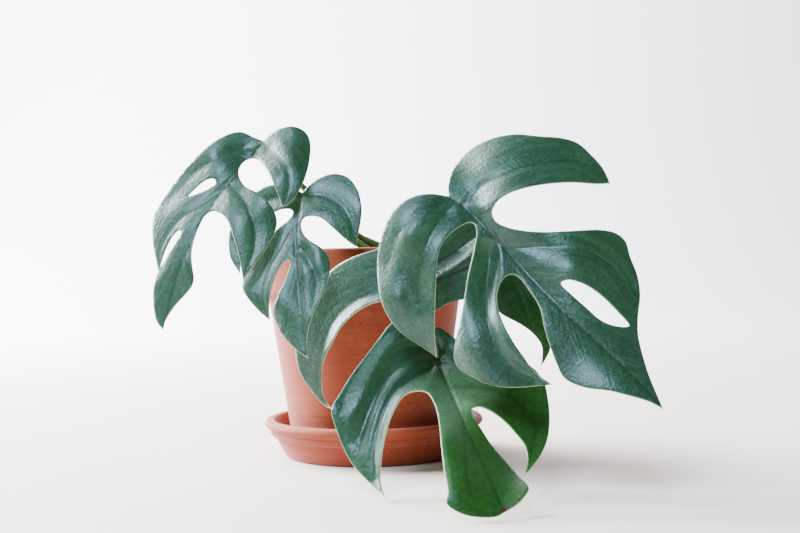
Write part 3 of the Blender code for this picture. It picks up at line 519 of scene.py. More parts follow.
def flat_blade(leaf, step):
    """The blade's points in the picture and its triangles, between its margin and its slots."""
    margin = np.vstack([smooth_line(run, step)[:-1] for run in leaf["runs"]])
    slots = [closed_loop(slot, step) for slot in leaf["slots"]]
    loops = [margin, *slots]
    edge_points = np.vstack(loops)
    low, high = margin.min(0), margin.max(0)
    rows = []
    for k, y in enumerate(np.arange(low[1], high[1], step * 0.87)):
        x = np.arange(low[0] + (k % 2) * step / 2, high[0], step)
        rows.append(np.column_stack([x, np.full(len(x), y)]))
    grid = np.vstack(rows)
    held = inside(grid, margin)
    for slot in slots:
        held &= ~inside(grid, slot)
    grid = grid[held]
    tree = KDTree(len(edge_points))
    for k, at in enumerate(edge_points):
        tree.insert((*at, 0), k)
    tree.balance()
    grid = grid[[tree.find((*at, 0))[2] > step * 0.6 for at in grid]]
    edges = []
    first = 0
    for loop in loops:
        n = len(loop)
        edges += [(first + i, first + (i + 1) % n) for i in range(n)]
        first += n
    points = [Vector(p) for p in np.vstack([edge_points, grid])]
    flat, _, triangles, *_ = delaunay_2d_cdt(points, edges, [], 0, 0.001)
    flat = np.array([tuple(p) for p in flat])
    triangles = np.array([tuple(t) for t in triangles])
    middles = flat[triangles].mean(1)
    keep = inside(middles, margin)
    for slot in slots:
        keep &= ~inside(middles, slot)
    triangles = triangles[keep]
    used, triangles = np.unique(triangles, return_inverse=True)
    closed = [np.vstack([loop, loop[:1]]) for loop in loops]
    return flat[used], triangles.reshape(-1, 3), closed


def point_normals(space, triangles):
    """Smooth normals of a triangle mesh."""
    a, b, c = space[triangles].transpose(1, 0, 2)
    faces = np.cross(b - a, c - a)
    normals = np.zeros_like(space)
    for k in range(3):
        np.add.at(normals, triangles[:, k], faces)
    return normals / np.linalg.norm(normals, axis=1, keepdims=True)


def open_edges(triangles):
    """The edges with a triangle on one side only, in that triangle's direction."""
    ends = np.concatenate([triangles[:, [0, 1]], triangles[:, [1, 2]], triangles[:, [2, 0]]])
    _, index, count = np.unique(np.sort(ends, axis=1), axis=0, return_inverse=True, return_counts=True)
    return ends[count[index.reshape(-1)] == 1]


def backlit_share(points, name):
    """How much of the painted back-lit green each point gets, from 0 to 1."""
    if name not in BACKLIT_GREEN:
        return np.zeros(len(points))
    old, glow_full = np.array(BACKLIT_GREEN[name], float)
    way = glow_full - old
    return np.clip((points - old) @ way / (way @ way), 0, 1)


def below(away, rib):
    """How far a rib stands out under the blade at each distance from its line."""
    height, width = rib
    return height * np.exp(-((away / width) ** 2))


def blade_mesh(name, space, triangles, half, ridge):
    """A closed blade round its middle surface: upper face, lower face and rim, each with its material."""
    if np.cross(*(space[triangles][:, 1:] - space[triangles][:, :1]).transpose(1, 0, 2))[:, 1].sum() > 0:
        triangles = triangles[:, ::-1]
    normals = point_normals(space, triangles)
    top = space + normals * half[:, None]
    under = space - normals * (half + ridge)[:, None]
    n = len(space)
    rim = open_edges(triangles)
    rim_faces = np.column_stack([rim[:, 0], rim[:, 0] + n, rim[:, 1] + n, rim[:, 1]])
    faces = [*triangles.tolist(), *(triangles[:, ::-1] + n).tolist(), *rim_faces.tolist()]
    mesh = bpy.data.meshes.new(name)
    mesh.from_pydata(np.vstack([top, under]).tolist(), [], faces)
    kinds = np.repeat([0, 1, 2], [len(triangles), len(triangles), len(rim_faces)])
    mesh.polygons.foreach_set("material_index", kinds.astype(np.int32))
    mesh.shade_smooth()
    return mesh


def note_facts(mesh, facts):
    """Stores each fact about the blade's points for its materials, the same for both faces."""
    for key, values in facts.items():
        layer = mesh.attributes.new(key, "FLOAT", "POINT")
        layer.data.foreach_set("value", np.tile(values, 2).astype(np.float32))


def note_veins(mesh, veins):
    """Stores the coordinates that follow the fine veins, the same for both faces."""
    corners = np.empty(len(mesh.loops), np.int32)
    mesh.loops.foreach_get("vertex_index", corners)
    uv = mesh.uv_layers.new(name="veins")
    uv.data.foreach_set("uv", veins[corners % len(veins)].astype(np.float32).ravel())


def blade_piece(name, leaf, looks):
    """One leaf blade: upper and lower face, thin rim, sunken veins above and raised ribs below."""
    flat, triangles, loops = flat_blade(leaf, looks.leaf_step / PICTURE_MM)
    edge = away_from(flat, loops)
    rib, *sides = [smooth_line(vein, VEIN_STEP) for vein in leaf["veins"]]
    rib_away, rib_along, _ = nearest_on(flat, rib)
    rib_away = rib_away * PICTURE_MM
    side_away = away_from(flat, sides) * PICTURE_MM
    back = relief(flat, leaf, edge) + creased(flat, leaf)
    space = carried(flat, sheet_of(leaf["sheet"])(flat) - back * looks.relief)

    body = np.clip(edge * PICTURE_MM / BODY_REACH, 0, 1)
    half = RIM_HALF + (BODY_HALF - RIM_HALF) * body * (2 - body)
    fade = 1 - MIDRIB_FADE * rib_along / rib_along.max()
    ridge = (below(rib_away, MIDRIB) * fade + below(side_away, SIDE_RIB)) * body
    mesh = blade_mesh(name, space, triangles, half, ridge)

    scar = np.exp(-((flat - SCAR) ** 2).sum(1) / SCAR_SIZE ** 2) * (name == SCAR_LEAF)
    note_facts(mesh, {
        "margin": edge * PICTURE_MM,
        "rib": rib_away,
        "side_vein": side_away,
        "scar": scar,
        # share of the painted back-lit green, a saturated green standing in for light through the blade
        "backlit_green": backlit_share(flat, name),
    })
    note_veins(mesh, np.column_stack(vein_coordinates(flat, leaf)) * PICTURE_MM / VEIN_UNIT)
    finishes = [
        material("waxy leaf, upper face", paint_leaf_top),
        material("waxy leaf, lower face", paint_leaf_under),
        material("leaf rim", paint_leaf_rim),
    ]
    piece = add_piece(name, mesh, finishes)
    finish_piece(piece, "leaf", name)


def add_piece(name, mesh, materials):
    """A finished piece of the plant, at the origin."""
    old = bpy.data.objects.get("fine_" + name)
    if old:
        bpy.data.objects.remove(old, do_unlink=True)
    piece = bpy.data.objects.new("fine_" + name, mesh)
    for made in materials:
        mesh.materials.append(made)
    plant = bpy.data.collections.get(PLANT)
    if plant is None:
        plant = bpy.data.collections.new(PLANT)
        bpy.context.scene.collection.children.link(plant)
    plant.objects.link(piece)
    return piece


def finish_piece(piece, slot, *nodes):
    """Ties a piece to the frame: the body it rides on, and hides the solids it stands for."""
    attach(piece, "root")
    if nodes:
        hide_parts(*nodes)


def rounded(profile, radius):
    """A closed profile with its corners rounded, none by more than its neighbours leave room for."""
    p = np.array(profile, float)
    made = []
    for before, at, after in zip(np.roll(p, 1, axis=0), p, np.roll(p, -1, axis=0)):
        if at[0] < 1e-6:
            made.append(at)
            continue
        back, on = before - at, after - at
        cut_back = at + back * min(0.5, radius / np.linalg.norm(back))
        cut_on = at + on * min(0.5, radius / np.linalg.norm(on))
        for t in (0, 0.25, 0.5, 0.75, 1):
            made.append((1 - t) ** 2 * cut_back + 2 * t * (1 - t) * at + t ** 2 * cut_on)
    return np.array(made)


def split_long(profile, longest):
    """The profile with extra points along its long straight stretches."""
    made = []
    for at, after in zip(profile, np.roll(profile, -1, axis=0)):
        parts = max(1, math.ceil(np.linalg.norm(after - at) / longest))
        made += [at + (after - at) * k / parts for k in range(parts)]
    return np.array(made)


def turned_mesh(name, profile, steps, centre_x=0.0, closed=True):
    """A turned shape from its (radius, height) profile."""
    turns = np.linspace(0, 2 * math.pi, steps, endpoint=False)
    rings = [np.column_stack([centre_x + profile[:, 0] * math.cos(t), profile[:, 0] * math.sin(t),
                              profile[:, 1]]) for t in turns]
    n = len(profile)
    faces = []
    for s in range(steps):
        here, there = s * n, (s + 1) % steps * n
        for k in range(n if closed else n - 1):
            after = (k + 1) % n
            faces.append((here + k, here + after, there + after, there + k))
    mesh = bpy.data.meshes.new(name)
    mesh.from_pydata(np.vstack(rings).tolist(), [], faces)
    shape = bmesh.new()
    shape.from_mesh(mesh)
    bmesh.ops.remove_doubles(shape, verts=shape.verts, dist=1e-6)
    bmesh.ops.dissolve_degenerate(shape, edges=shape.edges, dist=1e-7)
    bmesh.ops.recalc_face_normals(shape, faces=shape.faces)
    shape.to_mesh(mesh)
    shape.free()
    mesh.shade_smooth()
    return mesh


def swept(route, radii, sides, groove=0.0):
    """Points and faces of a closed tube along a route; a groove runs along its upper side."""
    ahead = np.gradient(route, axis=0)
    ahead /= np.linalg.norm(ahead, axis=1, keepdims=True)
    up = np.array([0, 0, 1.0])
    turns = np.linspace(0, 2 * math.pi, sides, endpoint=False)
    points = []
    for at, along, radius in zip(route, ahead, radii):
        if len(points) == 0 and abs(along[2]) > 0.9:
            up = np.array([0, 1.0, 0])
        side = np.cross(up, along)
        side /= np.linalg.norm(side)
        top = np.cross(along, side)
        up = top
        dent = 1 - groove * np.exp(-((turns - math.pi / 2) / 0.45) ** 2)
        points.append(at + radius * ((dent * np.cos(turns))[:, None] * side
                                     + (dent * np.sin(turns))[:, None] * top))
    faces = []
    for ring in range(len(route) - 1):
        low, high = ring * sides, (ring + 1) * sides
        for k in range(sides):
            after = (k + 1) % sides
            faces.append((low + k, low + after, high + after, high + k))
    faces.append(tuple(range(sides))[::-1])
    last = (len(route) - 1) * sides
    faces.append(tuple(last + k for k in range(sides)))
    return np.vstack(points), faces


def stalk_tube(leaf_name):
    """A leaf stalk: sheath at its foot, grooved above, and a swollen knee where it holds the blade."""
    leaf = LEAVES[leaf_name]
    at = smooth_line(leaf["veins"][0], 1)[STALK_INTO_BLADE][None]
    forward = sheet_of(leaf["sheet"])(at) - relief(at, leaf, np.array([MARGIN_REACH]))
    end = carried(at, forward)[0] + STALK_BEHIND
    route = smooth_line(np.vstack([np.array(PETIOLES[leaf_name]) * MM, end]), STALK_STEP)
    from_foot = np.concatenate([[0], np.cumsum(np.linalg.norm(np.diff(route, axis=0), axis=1))])
    to_blade = from_foot[-1] - from_foot
    knee = np.interp(to_blade / MM, *zip(*KNEE))
    sheath = np.interp(from_foot / MM, *zip(*SHEATH))
    radii = np.where(to_blade < KNEE_LENGTH * MM, knee, sheath) * MM
    return swept(route, radii, TUBE_SIDES, STALK_GROOVE)


def stem_tube():
    """The climbing stem: short stretches between ringed joints, ending in a rolled new leaf."""
    route = smooth_line(np.array(STEM_ROUTE) * MM, STEM_STEP)
    share = np.linspace(0, 1, len(route))
    joint = np.abs((share * STEM_JOINTS + 0.5) % 1 - 0.5)
    swell = 1 + 0.08 * np.cos(share * STEM_JOINTS * 2 * math.pi) + 0.10 * np.exp(-((joint / 0.07) ** 2))
    taper = np.minimum(1.0, 3.2 * (1 - share) + 0.12)
    return swept(route, STEM_RADIUS * swell * taper, TUBE_SIDES * 2)


def stem_piece():
    """The stem with all its leaf stalks."""
    tubes = [stem_tube(), *(stalk_tube(leaf_name) for leaf_name in LEAVES)]
    points, faces, joints = [], [], []
    first = 0
    for rank, (tube, sides) in enumerate(tubes):
        points.append(tube)
        faces += [tuple(first + k for k in face) for face in sides]
        joints.append(np.full(len(tube), float(rank == 0)))
        first += len(tube)
    mesh = bpy.data.meshes.new("stem")
    mesh.from_pydata(np.vstack(points).tolist(), [], faces)
    layer = mesh.attributes.new("stem", "FLOAT", "POINT")
    layer.data.foreach_set("value", np.concatenate(joints).astype(np.float32))
    shape = bmesh.new()
    shape.from_mesh(mesh)
    bmesh.ops.recalc_face_normals(shape, faces=shape.faces)
    shape.to_mesh(mesh)
    shape.free()
    mesh.shade_smooth()
    piece = add_piece("stem", mesh, [material("green stalk", paint_stalk)])
    finish_piece(piece, "stem", "stem")


def pot_radius(height):
    """The pot's outer radius below its rim band."""
    return POT_RIM_RADIUS - POT_BAND_PROUD - POT_TAPER * (POT_RIM_TOP - height)


def pot_profile():
    """The pot's outline as (radius, height), from its lip down and back up inside."""
    foot = SAUCER_FLOOR + FIT_GAP
    band = POT_RIM_TOP - POT_BAND_HEIGHT
    groove = POT_RIM_TOP - POT_LIP_HEIGHT
    floor = foot + POT_FLOOR
    band_radius = POT_RIM_RADIUS - 0.4 * MM
    return [
        (POT_RIM_RADIUS - 1.6 * MM, POT_RIM_TOP),
        (POT_RIM_RADIUS - 0.4 * MM, POT_RIM_TOP - 0.6 * MM),
        (POT_RIM_RADIUS, POT_RIM_TOP - 2 * MM),
        (POT_RIM_RADIUS, groove + 0.8 * MM),
        (POT_RIM_RADIUS - POT_GROOVE - 0.2 * MM, groove),
        (band_radius, groove - 0.8 * MM),
        (band_radius - 0.9 * MM, band + 2 * MM),
        (band_radius - 1.8 * MM, band),
        (pot_radius(band), band - 0.8 * MM),
        (pot_radius(foot + POT_FOOT_ROUND), foot + POT_FOOT_ROUND),
        (pot_radius(foot) - POT_FOOT_ROUND * 0.4, foot + POT_FOOT_ROUND * 0.4),
        (pot_radius(foot) - POT_FOOT_ROUND, foot),
        (DRAIN_RADIUS, foot),
        (DRAIN_RADIUS, floor),
        (pot_radius(floor) - POT_WALL - 3 * MM, floor),
        (pot_radius(floor + 3 * MM) - POT_WALL, floor + 3 * MM),
        (pot_radius(band) - POT_WALL, band),
        (pot_radius(POT_RIM_TOP) - POT_WALL + 1 * MM, POT_RIM_TOP - 2.2 * MM),
        (pot_radius(POT_RIM_TOP) - POT_WALL + 2.2 * MM, POT_RIM_TOP - 0.5 * MM),
        (pot_radius(POT_RIM_TOP) - POT_WALL + 3.4 * MM, POT_RIM_TOP),
    ]


def saucer_profile():
    """The saucer's outline as (radius, height), from its lip down and back up inside."""
    r, h = SAUCER_RADIUS, SAUCER_HEIGHT
    return [
        (r - 3.2 * MM, h),
        (r - 1.1 * MM, h - 0.7 * MM),
        (r, h - 2.4 * MM),
        (r - 0.4 * MM, h - 4.0 * MM),
        (r - 1.9 * MM, h - 5.2 * MM),
        (r - 3.3 * MM, h - 6.0 * MM),
        (r - 3.0 * MM, h - 7.4 * MM),
        (r - 3.3 * MM, h - 8.6 * MM),
        (r - 4.8 * MM, h - 9.6 * MM),
        (r - 6.2 * MM, h - 10.2 * MM),
        (r - 6.9 * MM, h - 11.8 * MM),
        (r - 9.0 * MM, 4.6 * MM),
        (SAUCER_FOOT_RADIUS + 1.2 * MM, 1.3 * MM),
        (SAUCER_FOOT_RADIUS, 0),
        (0, 0),
        (0, SAUCER_FLOOR),
        (SAUCER_FOOT_RADIUS - 1.2 * MM, SAUCER_FLOOR),
        (SAUCER_FOOT_RADIUS + 1.6 * MM, SAUCER_FLOOR + 1.4 * MM),
        (r - 3.2 * MM - SAUCER_WALL, h - 8 * MM),
        (r - SAUCER_WALL - 0.9 * MM, h - 2.2 * MM),
        (r - SAUCER_WALL + 0.1 * MM, h - 0.6 * MM),
    ]


def clay_piece(name, profile, centre_x=0.0):
    """A turned clay piece with softly rounded corners."""
    smooth = split_long(rounded(profile, CORNER_ROUND), CLAY_PART)
    mesh = turned_mesh(name, smooth, CLAY_STEPS, centre_x)
    piece = add_piece(name, mesh, [material(name + " clay", paint_clay)])
    finish_piece(piece, "terracotta", name)


def crown(radius, parts):
    """The soil's low crown as (radius, height), from its middle out to a radius."""
    shares = np.linspace(0, 1, parts + 1)
    return [(radius * s, SOIL_TOP + SOIL_CROWN * math.cos(s * math.pi / 2)) for s in shares]


def soil_bumps(x, y):
    """The soil surface's unevenness, in metres: a few slow waves of different lengths and directions."""
    waves = ((9, 0.3, 0.9), (14, 1.9, 0.6), (23, 4.1, 0.45), (31, 2.6, 0.35), (47, 5.2, 0.2))
    height = np.zeros_like(x)
    for k, (count, turn, size) in enumerate(waves):
        along = x * math.cos(turn) + y * math.sin(turn)
        height += size * MM * np.sin(along * count * 10 + 2.1 * k) / 2
    return height


def soil_piece():
    """The soil: its uneven top, sides and bottom."""
    floor = SAUCER_FLOOR + POT_FLOOR + 2 * FIT_GAP
    inner = pot_radius(SOIL_TOP) - POT_WALL - FIT_GAP - 0.1 * MM
    bottom = pot_radius(floor) - POT_WALL - 3 * MM - FIT_GAP
    profile = np.array([*crown(inner, SOIL_PARTS), (bottom, floor), (0, floor)])
    mesh = turned_mesh("soil", profile, CLAY_STEPS, POT_X)
    at = np.empty(len(mesh.vertices) * 3)
    mesh.vertices.foreach_get("co", at)
    at = at.reshape(-1, 3)
    out = np.hypot(at[:, 0] - POT_X, at[:, 1]) / inner
    lift = (at[:, 2] > SOIL_TOP - 1 * MM) * np.clip((1 - out) * 8, 0, 1)
    at[:, 2] += soil_bumps(at[:, 0], at[:, 1]) * lift
    mesh.vertices.foreach_set("co", at.ravel())
    piece = add_piece("soil", mesh, [material("potting mix", paint_soil)])
    finish_piece(piece, "soil", "soil")


def wire(node, inputs):
    """Sets each input: a constant, an output, or a node, which stands for its first output in use."""
    for key, value in inputs.items():
        if isinstance(value, bpy.types.Node):
            value = next(output for output in value.outputs if output.enabled)
        if isinstance(value, bpy.types.NodeSocket):
            node.id_data.links.new(value, node.inputs[key])
        else:
            node.inputs[key].default_value = value


def add_node(tree, kind, inputs=None, **settings):
    """Adds a node with its settings, its constants and its links."""
    made = tree.nodes.new(kind)
    for key, value in settings.items():
        setattr(made, key, value)
    wire(made, inputs or {})
    return made


def crumb_group():
    """A Geometry Nodes group that strews lumpy crumbs over a surface."""
    group = bpy.data.node_groups.new("strewn_crumbs", "GeometryNodeTree")
    for name, kind in CRUMB_INPUTS.items():
        group.interface.new_socket(name, in_out="INPUT", socket_type="NodeSocket" + kind)
    group.interface.new_socket("Crumbs", in_out="OUTPUT", socket_type="NodeSocketGeometry")
    given = add_node(group, "NodeGroupInput").outputs

    # Where the crumbs lie, no two nearer than the spacing
    strew = {"Mesh": given["Surface"], "Distance Min": given["Spacing"], "Density Max": 900000,
             "Seed": given["Seed"]}
    points = add_node(group, "GeometryNodeDistributePointsOnFaces", strew, distribute_method="POISSON")

    # Each crumb is a small ball of any size between the two, turned any way and longer one way than another
    ball = add_node(group, "GeometryNodeMeshIcoSphere", {"Radius": 1, "Subdivisions": 2})
    any_size = {2: given["Smallest"], 3: given["Largest"], "Seed": given["Seed"]}
    size = add_node(group, "FunctionNodeRandomValue", any_size, data_type="FLOAT")
    any_turn = {1: (6.283, 6.283, 6.283)}
    turn = add_node(group, "FunctionNodeRandomValue", any_turn, data_type="FLOAT_VECTOR")
    any_shape = {0: (0.7, 0.45, 0.35), 1: (1.5, 1.0, 0.8)}
    shape = add_node(group, "FunctionNodeRandomValue", any_shape, data_type="FLOAT_VECTOR")
    scale = add_node(group, "ShaderNodeVectorMath", {0: shape, "Scale": size}, operation="SCALE")
    placed = {"Points": points, "Instance": ball, "Rotation": turn, "Scale": scale}
    crumbs = add_node(group, "GeometryNodeInstanceOnPoints", placed)
    crumbs = add_node(group, "GeometryNodeRealizeInstances", {"Geometry": crumbs})

    # Lumps, 900 to the metre, push the surface in and out
    noise = add_node(group, "ShaderNodeTexNoise", {"Scale": 900, "Detail": 2})
    lump = {0: noise.outputs["Color"], 1: (0.5, 0.5, 0.5)}
    lump = add_node(group, "ShaderNodeVectorMath", lump, operation="SUBTRACT")
    lump = add_node(group, "ShaderNodeVectorMath", {0: lump, "Scale": CRUMB_LUMPS}, operation="SCALE")
    crumbs = add_node(group, "GeometryNodeSetPosition", {"Geometry": crumbs, "Offset": lump})
    crumbs = add_node(group, "GeometryNodeSetMaterial", {"Geometry": crumbs, "Material": given["Material"]})
    add_node(group, "NodeGroupOutput", {"Crumbs": crumbs})
    return group


def crumbs_piece(looks):
    """Loose crumbs of potting mix over the soil's top."""
    profile = np.array(crown(pot_radius(SOIL_TOP) - POT_WALL - CRUMB_MARGIN, BED_PARTS))
    mesh = turned_mesh("crumb_bed", profile, BED_STEPS, POT_X, closed=False)
    if sum(face.normal.z for face in mesh.polygons) < 0:
        mesh.flip_normals()
    bed = bpy.data.objects.new("crumb_bed", mesh)
    bpy.context.scene.collection.objects.link(bed)
    group = crumb_group()
    strewn = bed.modifiers.new("crumbs", "NODES")
    strewn.node_group = group
    mix = material("potting mix", paint_soil)
    wanted = {"Spacing": looks.crumb_spacing * MM, "Smallest": CRUMB_SIZES[0], "Largest": CRUMB_SIZES[1],
              "Seed": looks.seed, "Material": mix}
    for item in group.interface.items_tree:
        if item.in_out == "INPUT" and item.name in wanted:
            strewn[item.identifier] = wanted[item.name]
    bpy.context.view_layer.update()
    graph = bpy.context.evaluated_depsgraph_get()
    crumbs = bpy.data.meshes.new_from_object(bed.evaluated_get(graph))
    bpy.data.objects.remove(bed)
    crumbs.name = "soil_crumbs"
    crumbs.materials.clear()
    piece = add_piece("soil_crumbs", crumbs, [mix])
    finish_piece(piece, "soil")


def srgb(code):
    """A hex colour as Blender's linear values."""
    parts = [int(code[k:k + 2], 16) / 255 for k in (1, 3, 5)]
    return (*(c / 12.92 if c <= 0.04045 else ((c + 0.055) / 1.055) ** 2.4 for c in parts), 1.0)


def per_metre(size):
    """The scale of a pattern whose features are so many millimetres wide."""
    return 1000 / size


def material(name, paint):
    """The material of that name, which its own function paints the first time it is asked for."""
    made = bpy.data.materials.get(name)
    if made is None:
        made = bpy.data.materials.new(name)
        made.use_nodes = True
        paint(made.node_tree)
    return made


def layered(tree, colour, layers):
    """Lays colours over the first: (pattern, its low, its high, how much at the low, at the high, colour)."""
    for pattern, low, high, at_low, at_high, code in layers:
        share = add_node(tree, "ShaderNodeMapRange", {0: pattern, 1: low, 2: high, 3: at_low, 4: at_high})
        colour = add_node(tree, "ShaderNodeMix", {0: share, 6: colour, 7: srgb(code)}, data_type="RGBA")
    return colour


def raised(tree, heights):
    """The surface's bumps, each a pattern and how high it stands in millimetres."""
    bump = None
    for pattern, height in heights:
        inputs = {"Height": pattern, "Distance": height * MM, "Strength": 1}
        if bump:
            inputs["Normal"] = bump
        bump = add_node(tree, "ShaderNodeBump", inputs)
    return bump


def along_veins(tree, across, along):
    """Coordinates for streaks along the fine veins, so many millimetres wide and long."""
    uv = add_node(tree, "ShaderNodeUVMap", uv_map="veins")
    scale = (VEIN_UNIT / across, VEIN_UNIT / along, 1)
    return add_node(tree, "ShaderNodeMapping", {"Vector": uv, "Scale": scale})


def lit_through(tree, share, code):
    """Lets some light through the blade, tinted as it passes."""
    through = add_node(tree, "ShaderNodeBsdfTranslucent", {"Color": srgb(code)})
    both = add_node(tree, "ShaderNodeMixShader", {0: share, 1: tree.nodes["Principled BSDF"], 2: through})
    wire(tree.nodes["Material Output"], {0: both})


def paint_leaf_top(tree):
    """Upper face of a waxy leaf: dull blue-green with fine streaks, painted shade in the sunken vein grooves,
    a painted back-lit green on two leaves, and a thin pale margin.

    The wax gives a broad, soft shine, broken by the streaks and by dimples a pixel or two wide."""
    place = add_node(tree, "ShaderNodeTexCoord").outputs["Object"]
    noise = {"Scale": 1, "Roughness": 0.55}
    fine = add_node(tree, "ShaderNodeTexNoise", {**noise, "Vector": along_veins(tree, 0.9, 12), "Detail": 3})
    broad = add_node(tree, "ShaderNodeTexNoise", {**noise, "Vector": along_veins(tree, 3.6, 26), "Detail": 2})
    noise = {"Vector": place, "Roughness": 0.55}
    cloud = add_node(tree, "ShaderNodeTexNoise", {**noise, "Scale": per_metre(26.316), "Detail": 3})
    dimple = add_node(tree, "ShaderNodeTexNoise", {**noise, "Scale": per_metre(1.53846), "Detail": 3})
    crumple = add_node(tree, "ShaderNodeTexNoise", {**noise, "Scale": per_metre(6.6667), "Detail": 2})
    backlit_green, side_vein, rib, margin, scar = [
        add_node(tree, "ShaderNodeAttribute", attribute_name=fact).outputs["Fac"]
        for fact in ("backlit_green", "side_vein", "rib", "margin", "scar")
    ]
    green = layered(tree, srgb("#1f3828"), [
        (broad, 0.35, 0.65, 0, 1, "#2b4a36"),
        (fine, 0.4, 0.7, 0, 0.2, "#4a6e5a"),
        (cloud, 0.45, 0.75, 0, 0.3, "#315a26"),
        # painted light: saturated green standing in for light shining through the blade on two leaves
        (backlit_green, 0, 1, 0, 0.8, "#214b0e"),
        (dimple, 0.42, 0.6, 0, 0.5, "#10241a"),
        # painted shade: darker along the sunken midrib and side veins, where shade falls in their grooves
        (side_vein, 0.1, 1.3, 0.5, 0, "#0f2810"),
        (rib, 0.3, 1.2, 0.55, 0, "#0f2810"),
        (margin, 0.08, 0.28, 0.7, 0, "#a8b888"),
        (scar, 0.35, 0.7, 0, 1, "#3a1c0e"),
    ])
    patches = add_node(tree, "ShaderNodeMath", {0: fine, 1: 0.5, 2: broad}, operation="MULTIPLY_ADD")
    patches = add_node(tree, "ShaderNodeMath", {0: cloud, 1: 0.5, 2: patches}, operation="MULTIPLY_ADD")
    wire(tree.nodes["Principled BSDF"], {
        "Base Color": green,
        "Roughness": add_node(tree, "ShaderNodeMapRange", {0: patches, 1: 0.75, 2: 1.25, 3: 0.33, 4: 0.43}),
        "Specular IOR Level": add_node(tree, "ShaderNodeMapRange", {0: backlit_green, 3: 0.5, 4: 0.2}),
        "Specular Tint": srgb("#cfeaf2"),
        "Coat Weight": add_node(tree, "ShaderNodeMapRange", {0: backlit_green, 3: 0.1, 4: 0.02}),
        "Coat Roughness": 0.25,
        "Normal": raised(tree, [(fine, 0.06), (broad, 0.24), (dimple, 0.3), (crumple, 0.2)]),
    })
    lit_through(tree, 0.14, "#5a9a1e")


def paint_leaf_under(tree):
    """Lower face of a leaf: paler and duller than the upper one, with the same streaks and a pale midrib."""
    streaks = {"Vector": along_veins(tree, 0.9, 20), "Scale": 1, "Detail": 2, "Roughness": 0.55}
    fine = add_node(tree, "ShaderNodeTexNoise", streaks)
    rib = add_node(tree, "ShaderNodeAttribute", attribute_name="rib").outputs["Fac"]
    wire(tree.nodes["Principled BSDF"], {
        "Base Color": layered(tree, srgb("#3a6130"), [
            (fine, 0.3, 0.7, 0, 1, "#4a7440"),
            (rib, 0.3, 1.2, 0.7, 0, "#6f8c50"),
        ]),
        "Roughness": 0.55,
        "Normal": raised(tree, [(fine, 0.15)]),
    })
    lit_through(tree, 0.2, "#5c9a2e")


def paint_leaf_rim(tree):
    """Rim of a leaf: pale green, faintly mottled, like the thin margin beside it."""
    place = add_node(tree, "ShaderNodeTexCoord").outputs["Object"]
    mottle = {"Vector": place, "Scale": per_metre(2.5), "Detail": 2, "Roughness": 0.55}
    cloud = add_node(tree, "ShaderNodeTexNoise", mottle)
    pale = layered(tree, srgb("#808a5a"), [(cloud, 0, 1, 0, 1, "#a0a678")])
    wire(tree.nodes["Principled BSDF"], {"Base Color": pale, "Roughness": 0.5})


def paint_stalk(tree):
    """Leaf stalks and stem: smooth green with fine lines, browner in patches on the stem."""
    place = add_node(tree, "ShaderNodeTexCoord").outputs["Object"]
    drawn_out = add_node(tree, "ShaderNodeMapping", {"Vector": place, "Scale": (1, 0.25, 1)})
    noise = {"Roughness": 0.55}
    streak = {**noise, "Vector": drawn_out, "Scale": per_metre(1.1111), "Detail": 2}
    streak = add_node(tree, "ShaderNodeTexNoise", streak)
    cloud = {**noise, "Vector": place, "Scale": per_metre(11.111), "Detail": 3}
    cloud = add_node(tree, "ShaderNodeTexNoise", cloud)
    stem = add_node(tree, "ShaderNodeAttribute", attribute_name="stem").outputs["Fac"]
    patch = add_node(tree, "ShaderNodeMapRange", {0: cloud, 1: 0.4, 2: 0.7, 3: 0.15, 4: 0.7})
    brown = add_node(tree, "ShaderNodeMath", {0: stem, 1: patch}, operation="MULTIPLY")
    wire(tree.nodes["Principled BSDF"], {
        "Base Color": layered(tree, srgb("#35561f"), [
            (streak, 0.3, 0.7, 0, 1, "#4a6c30"),
            (brown, 0, 1, 0, 1, "#76683c"),
        ]),
        "Roughness": add_node(tree, "ShaderNodeMapRange", {0: cloud, 1: 0.3, 2: 0.7, 3: 0.4, 4: 0.55}),
        "Normal": raised(tree, [(streak, 0.08)]),
    })


def paint_clay(tree):
    """Unglazed thrown terracotta: a matte grain, faint turning lines, a thin wash of lime and a few specks.

    The real grit is finer than a pixel, so the grain is drawn at half a millimetre."""
    place = add_node(tree, "ShaderNodeTexCoord").outputs["Object"]
    flattened = add_node(tree, "ShaderNodeMapping", {"Vector": place, "Scale": (0.06, 0.06, 1)})
    grain, cloud, bands, lime = [
        add_node(tree, "ShaderNodeTexNoise",
                 {"Vector": vector, "Scale": per_metre(size), "Detail": detail, "Roughness": roughness})
        for vector, size, detail, roughness in (
            (place, 0.526316, 4, 0.7),
            (place, 38.4615, 4, 0.55),
            (flattened, 1.92308, 3, 0.55),
            (place, 16.6667, 6, 0.7),
        )
    ]
    specks = add_node(tree, "ShaderNodeTexVoronoi", {"Vector": place, "Scale": per_metre(7.69231)})
    specks = add_node(tree, "ShaderNodeMapRange", {0: specks, 1: 0.07, 2: 0.11, 3: 1, 4: 0})
    where = add_node(tree, "ShaderNodeMapRange", {0: cloud, 1: 0.5, 2: 0.6, 3: 0, 4: 0.7})
    specks = add_node(tree, "ShaderNodeMath", {0: specks, 1: where}, operation="MULTIPLY")
    wire(tree.nodes["Principled BSDF"], {
        "Base Color": layered(tree, srgb("#7d3019"), [
            (cloud, 0.3, 0.7, 0, 1, "#8e3b20"),
            (bands, 0.4, 0.75, 0, 0.2, "#8e3c24"),
            (grain, 0.58, 0.78, 0, 0.15, "#7c3420"),
            (lime, 0.52, 0.85, 0, 0.25, "#bb6c4c"),
            (specks, 0, 1, 0, 1, "#4a2416"),
        ]),
        "Roughness": add_node(tree, "ShaderNodeMapRange", {0: grain, 1: 0.3, 2: 0.7, 3: 0.72, 4: 0.9}),
        "Specular IOR Level": 0.35,
        "Sheen Weight": 0.15,
        "Sheen Roughness": 0.35,
        "Sheen Tint": srgb("#ffe9e0"),
        "Normal": raised(tree, [(grain, 0.12), (bands, 0.3)]),
    })


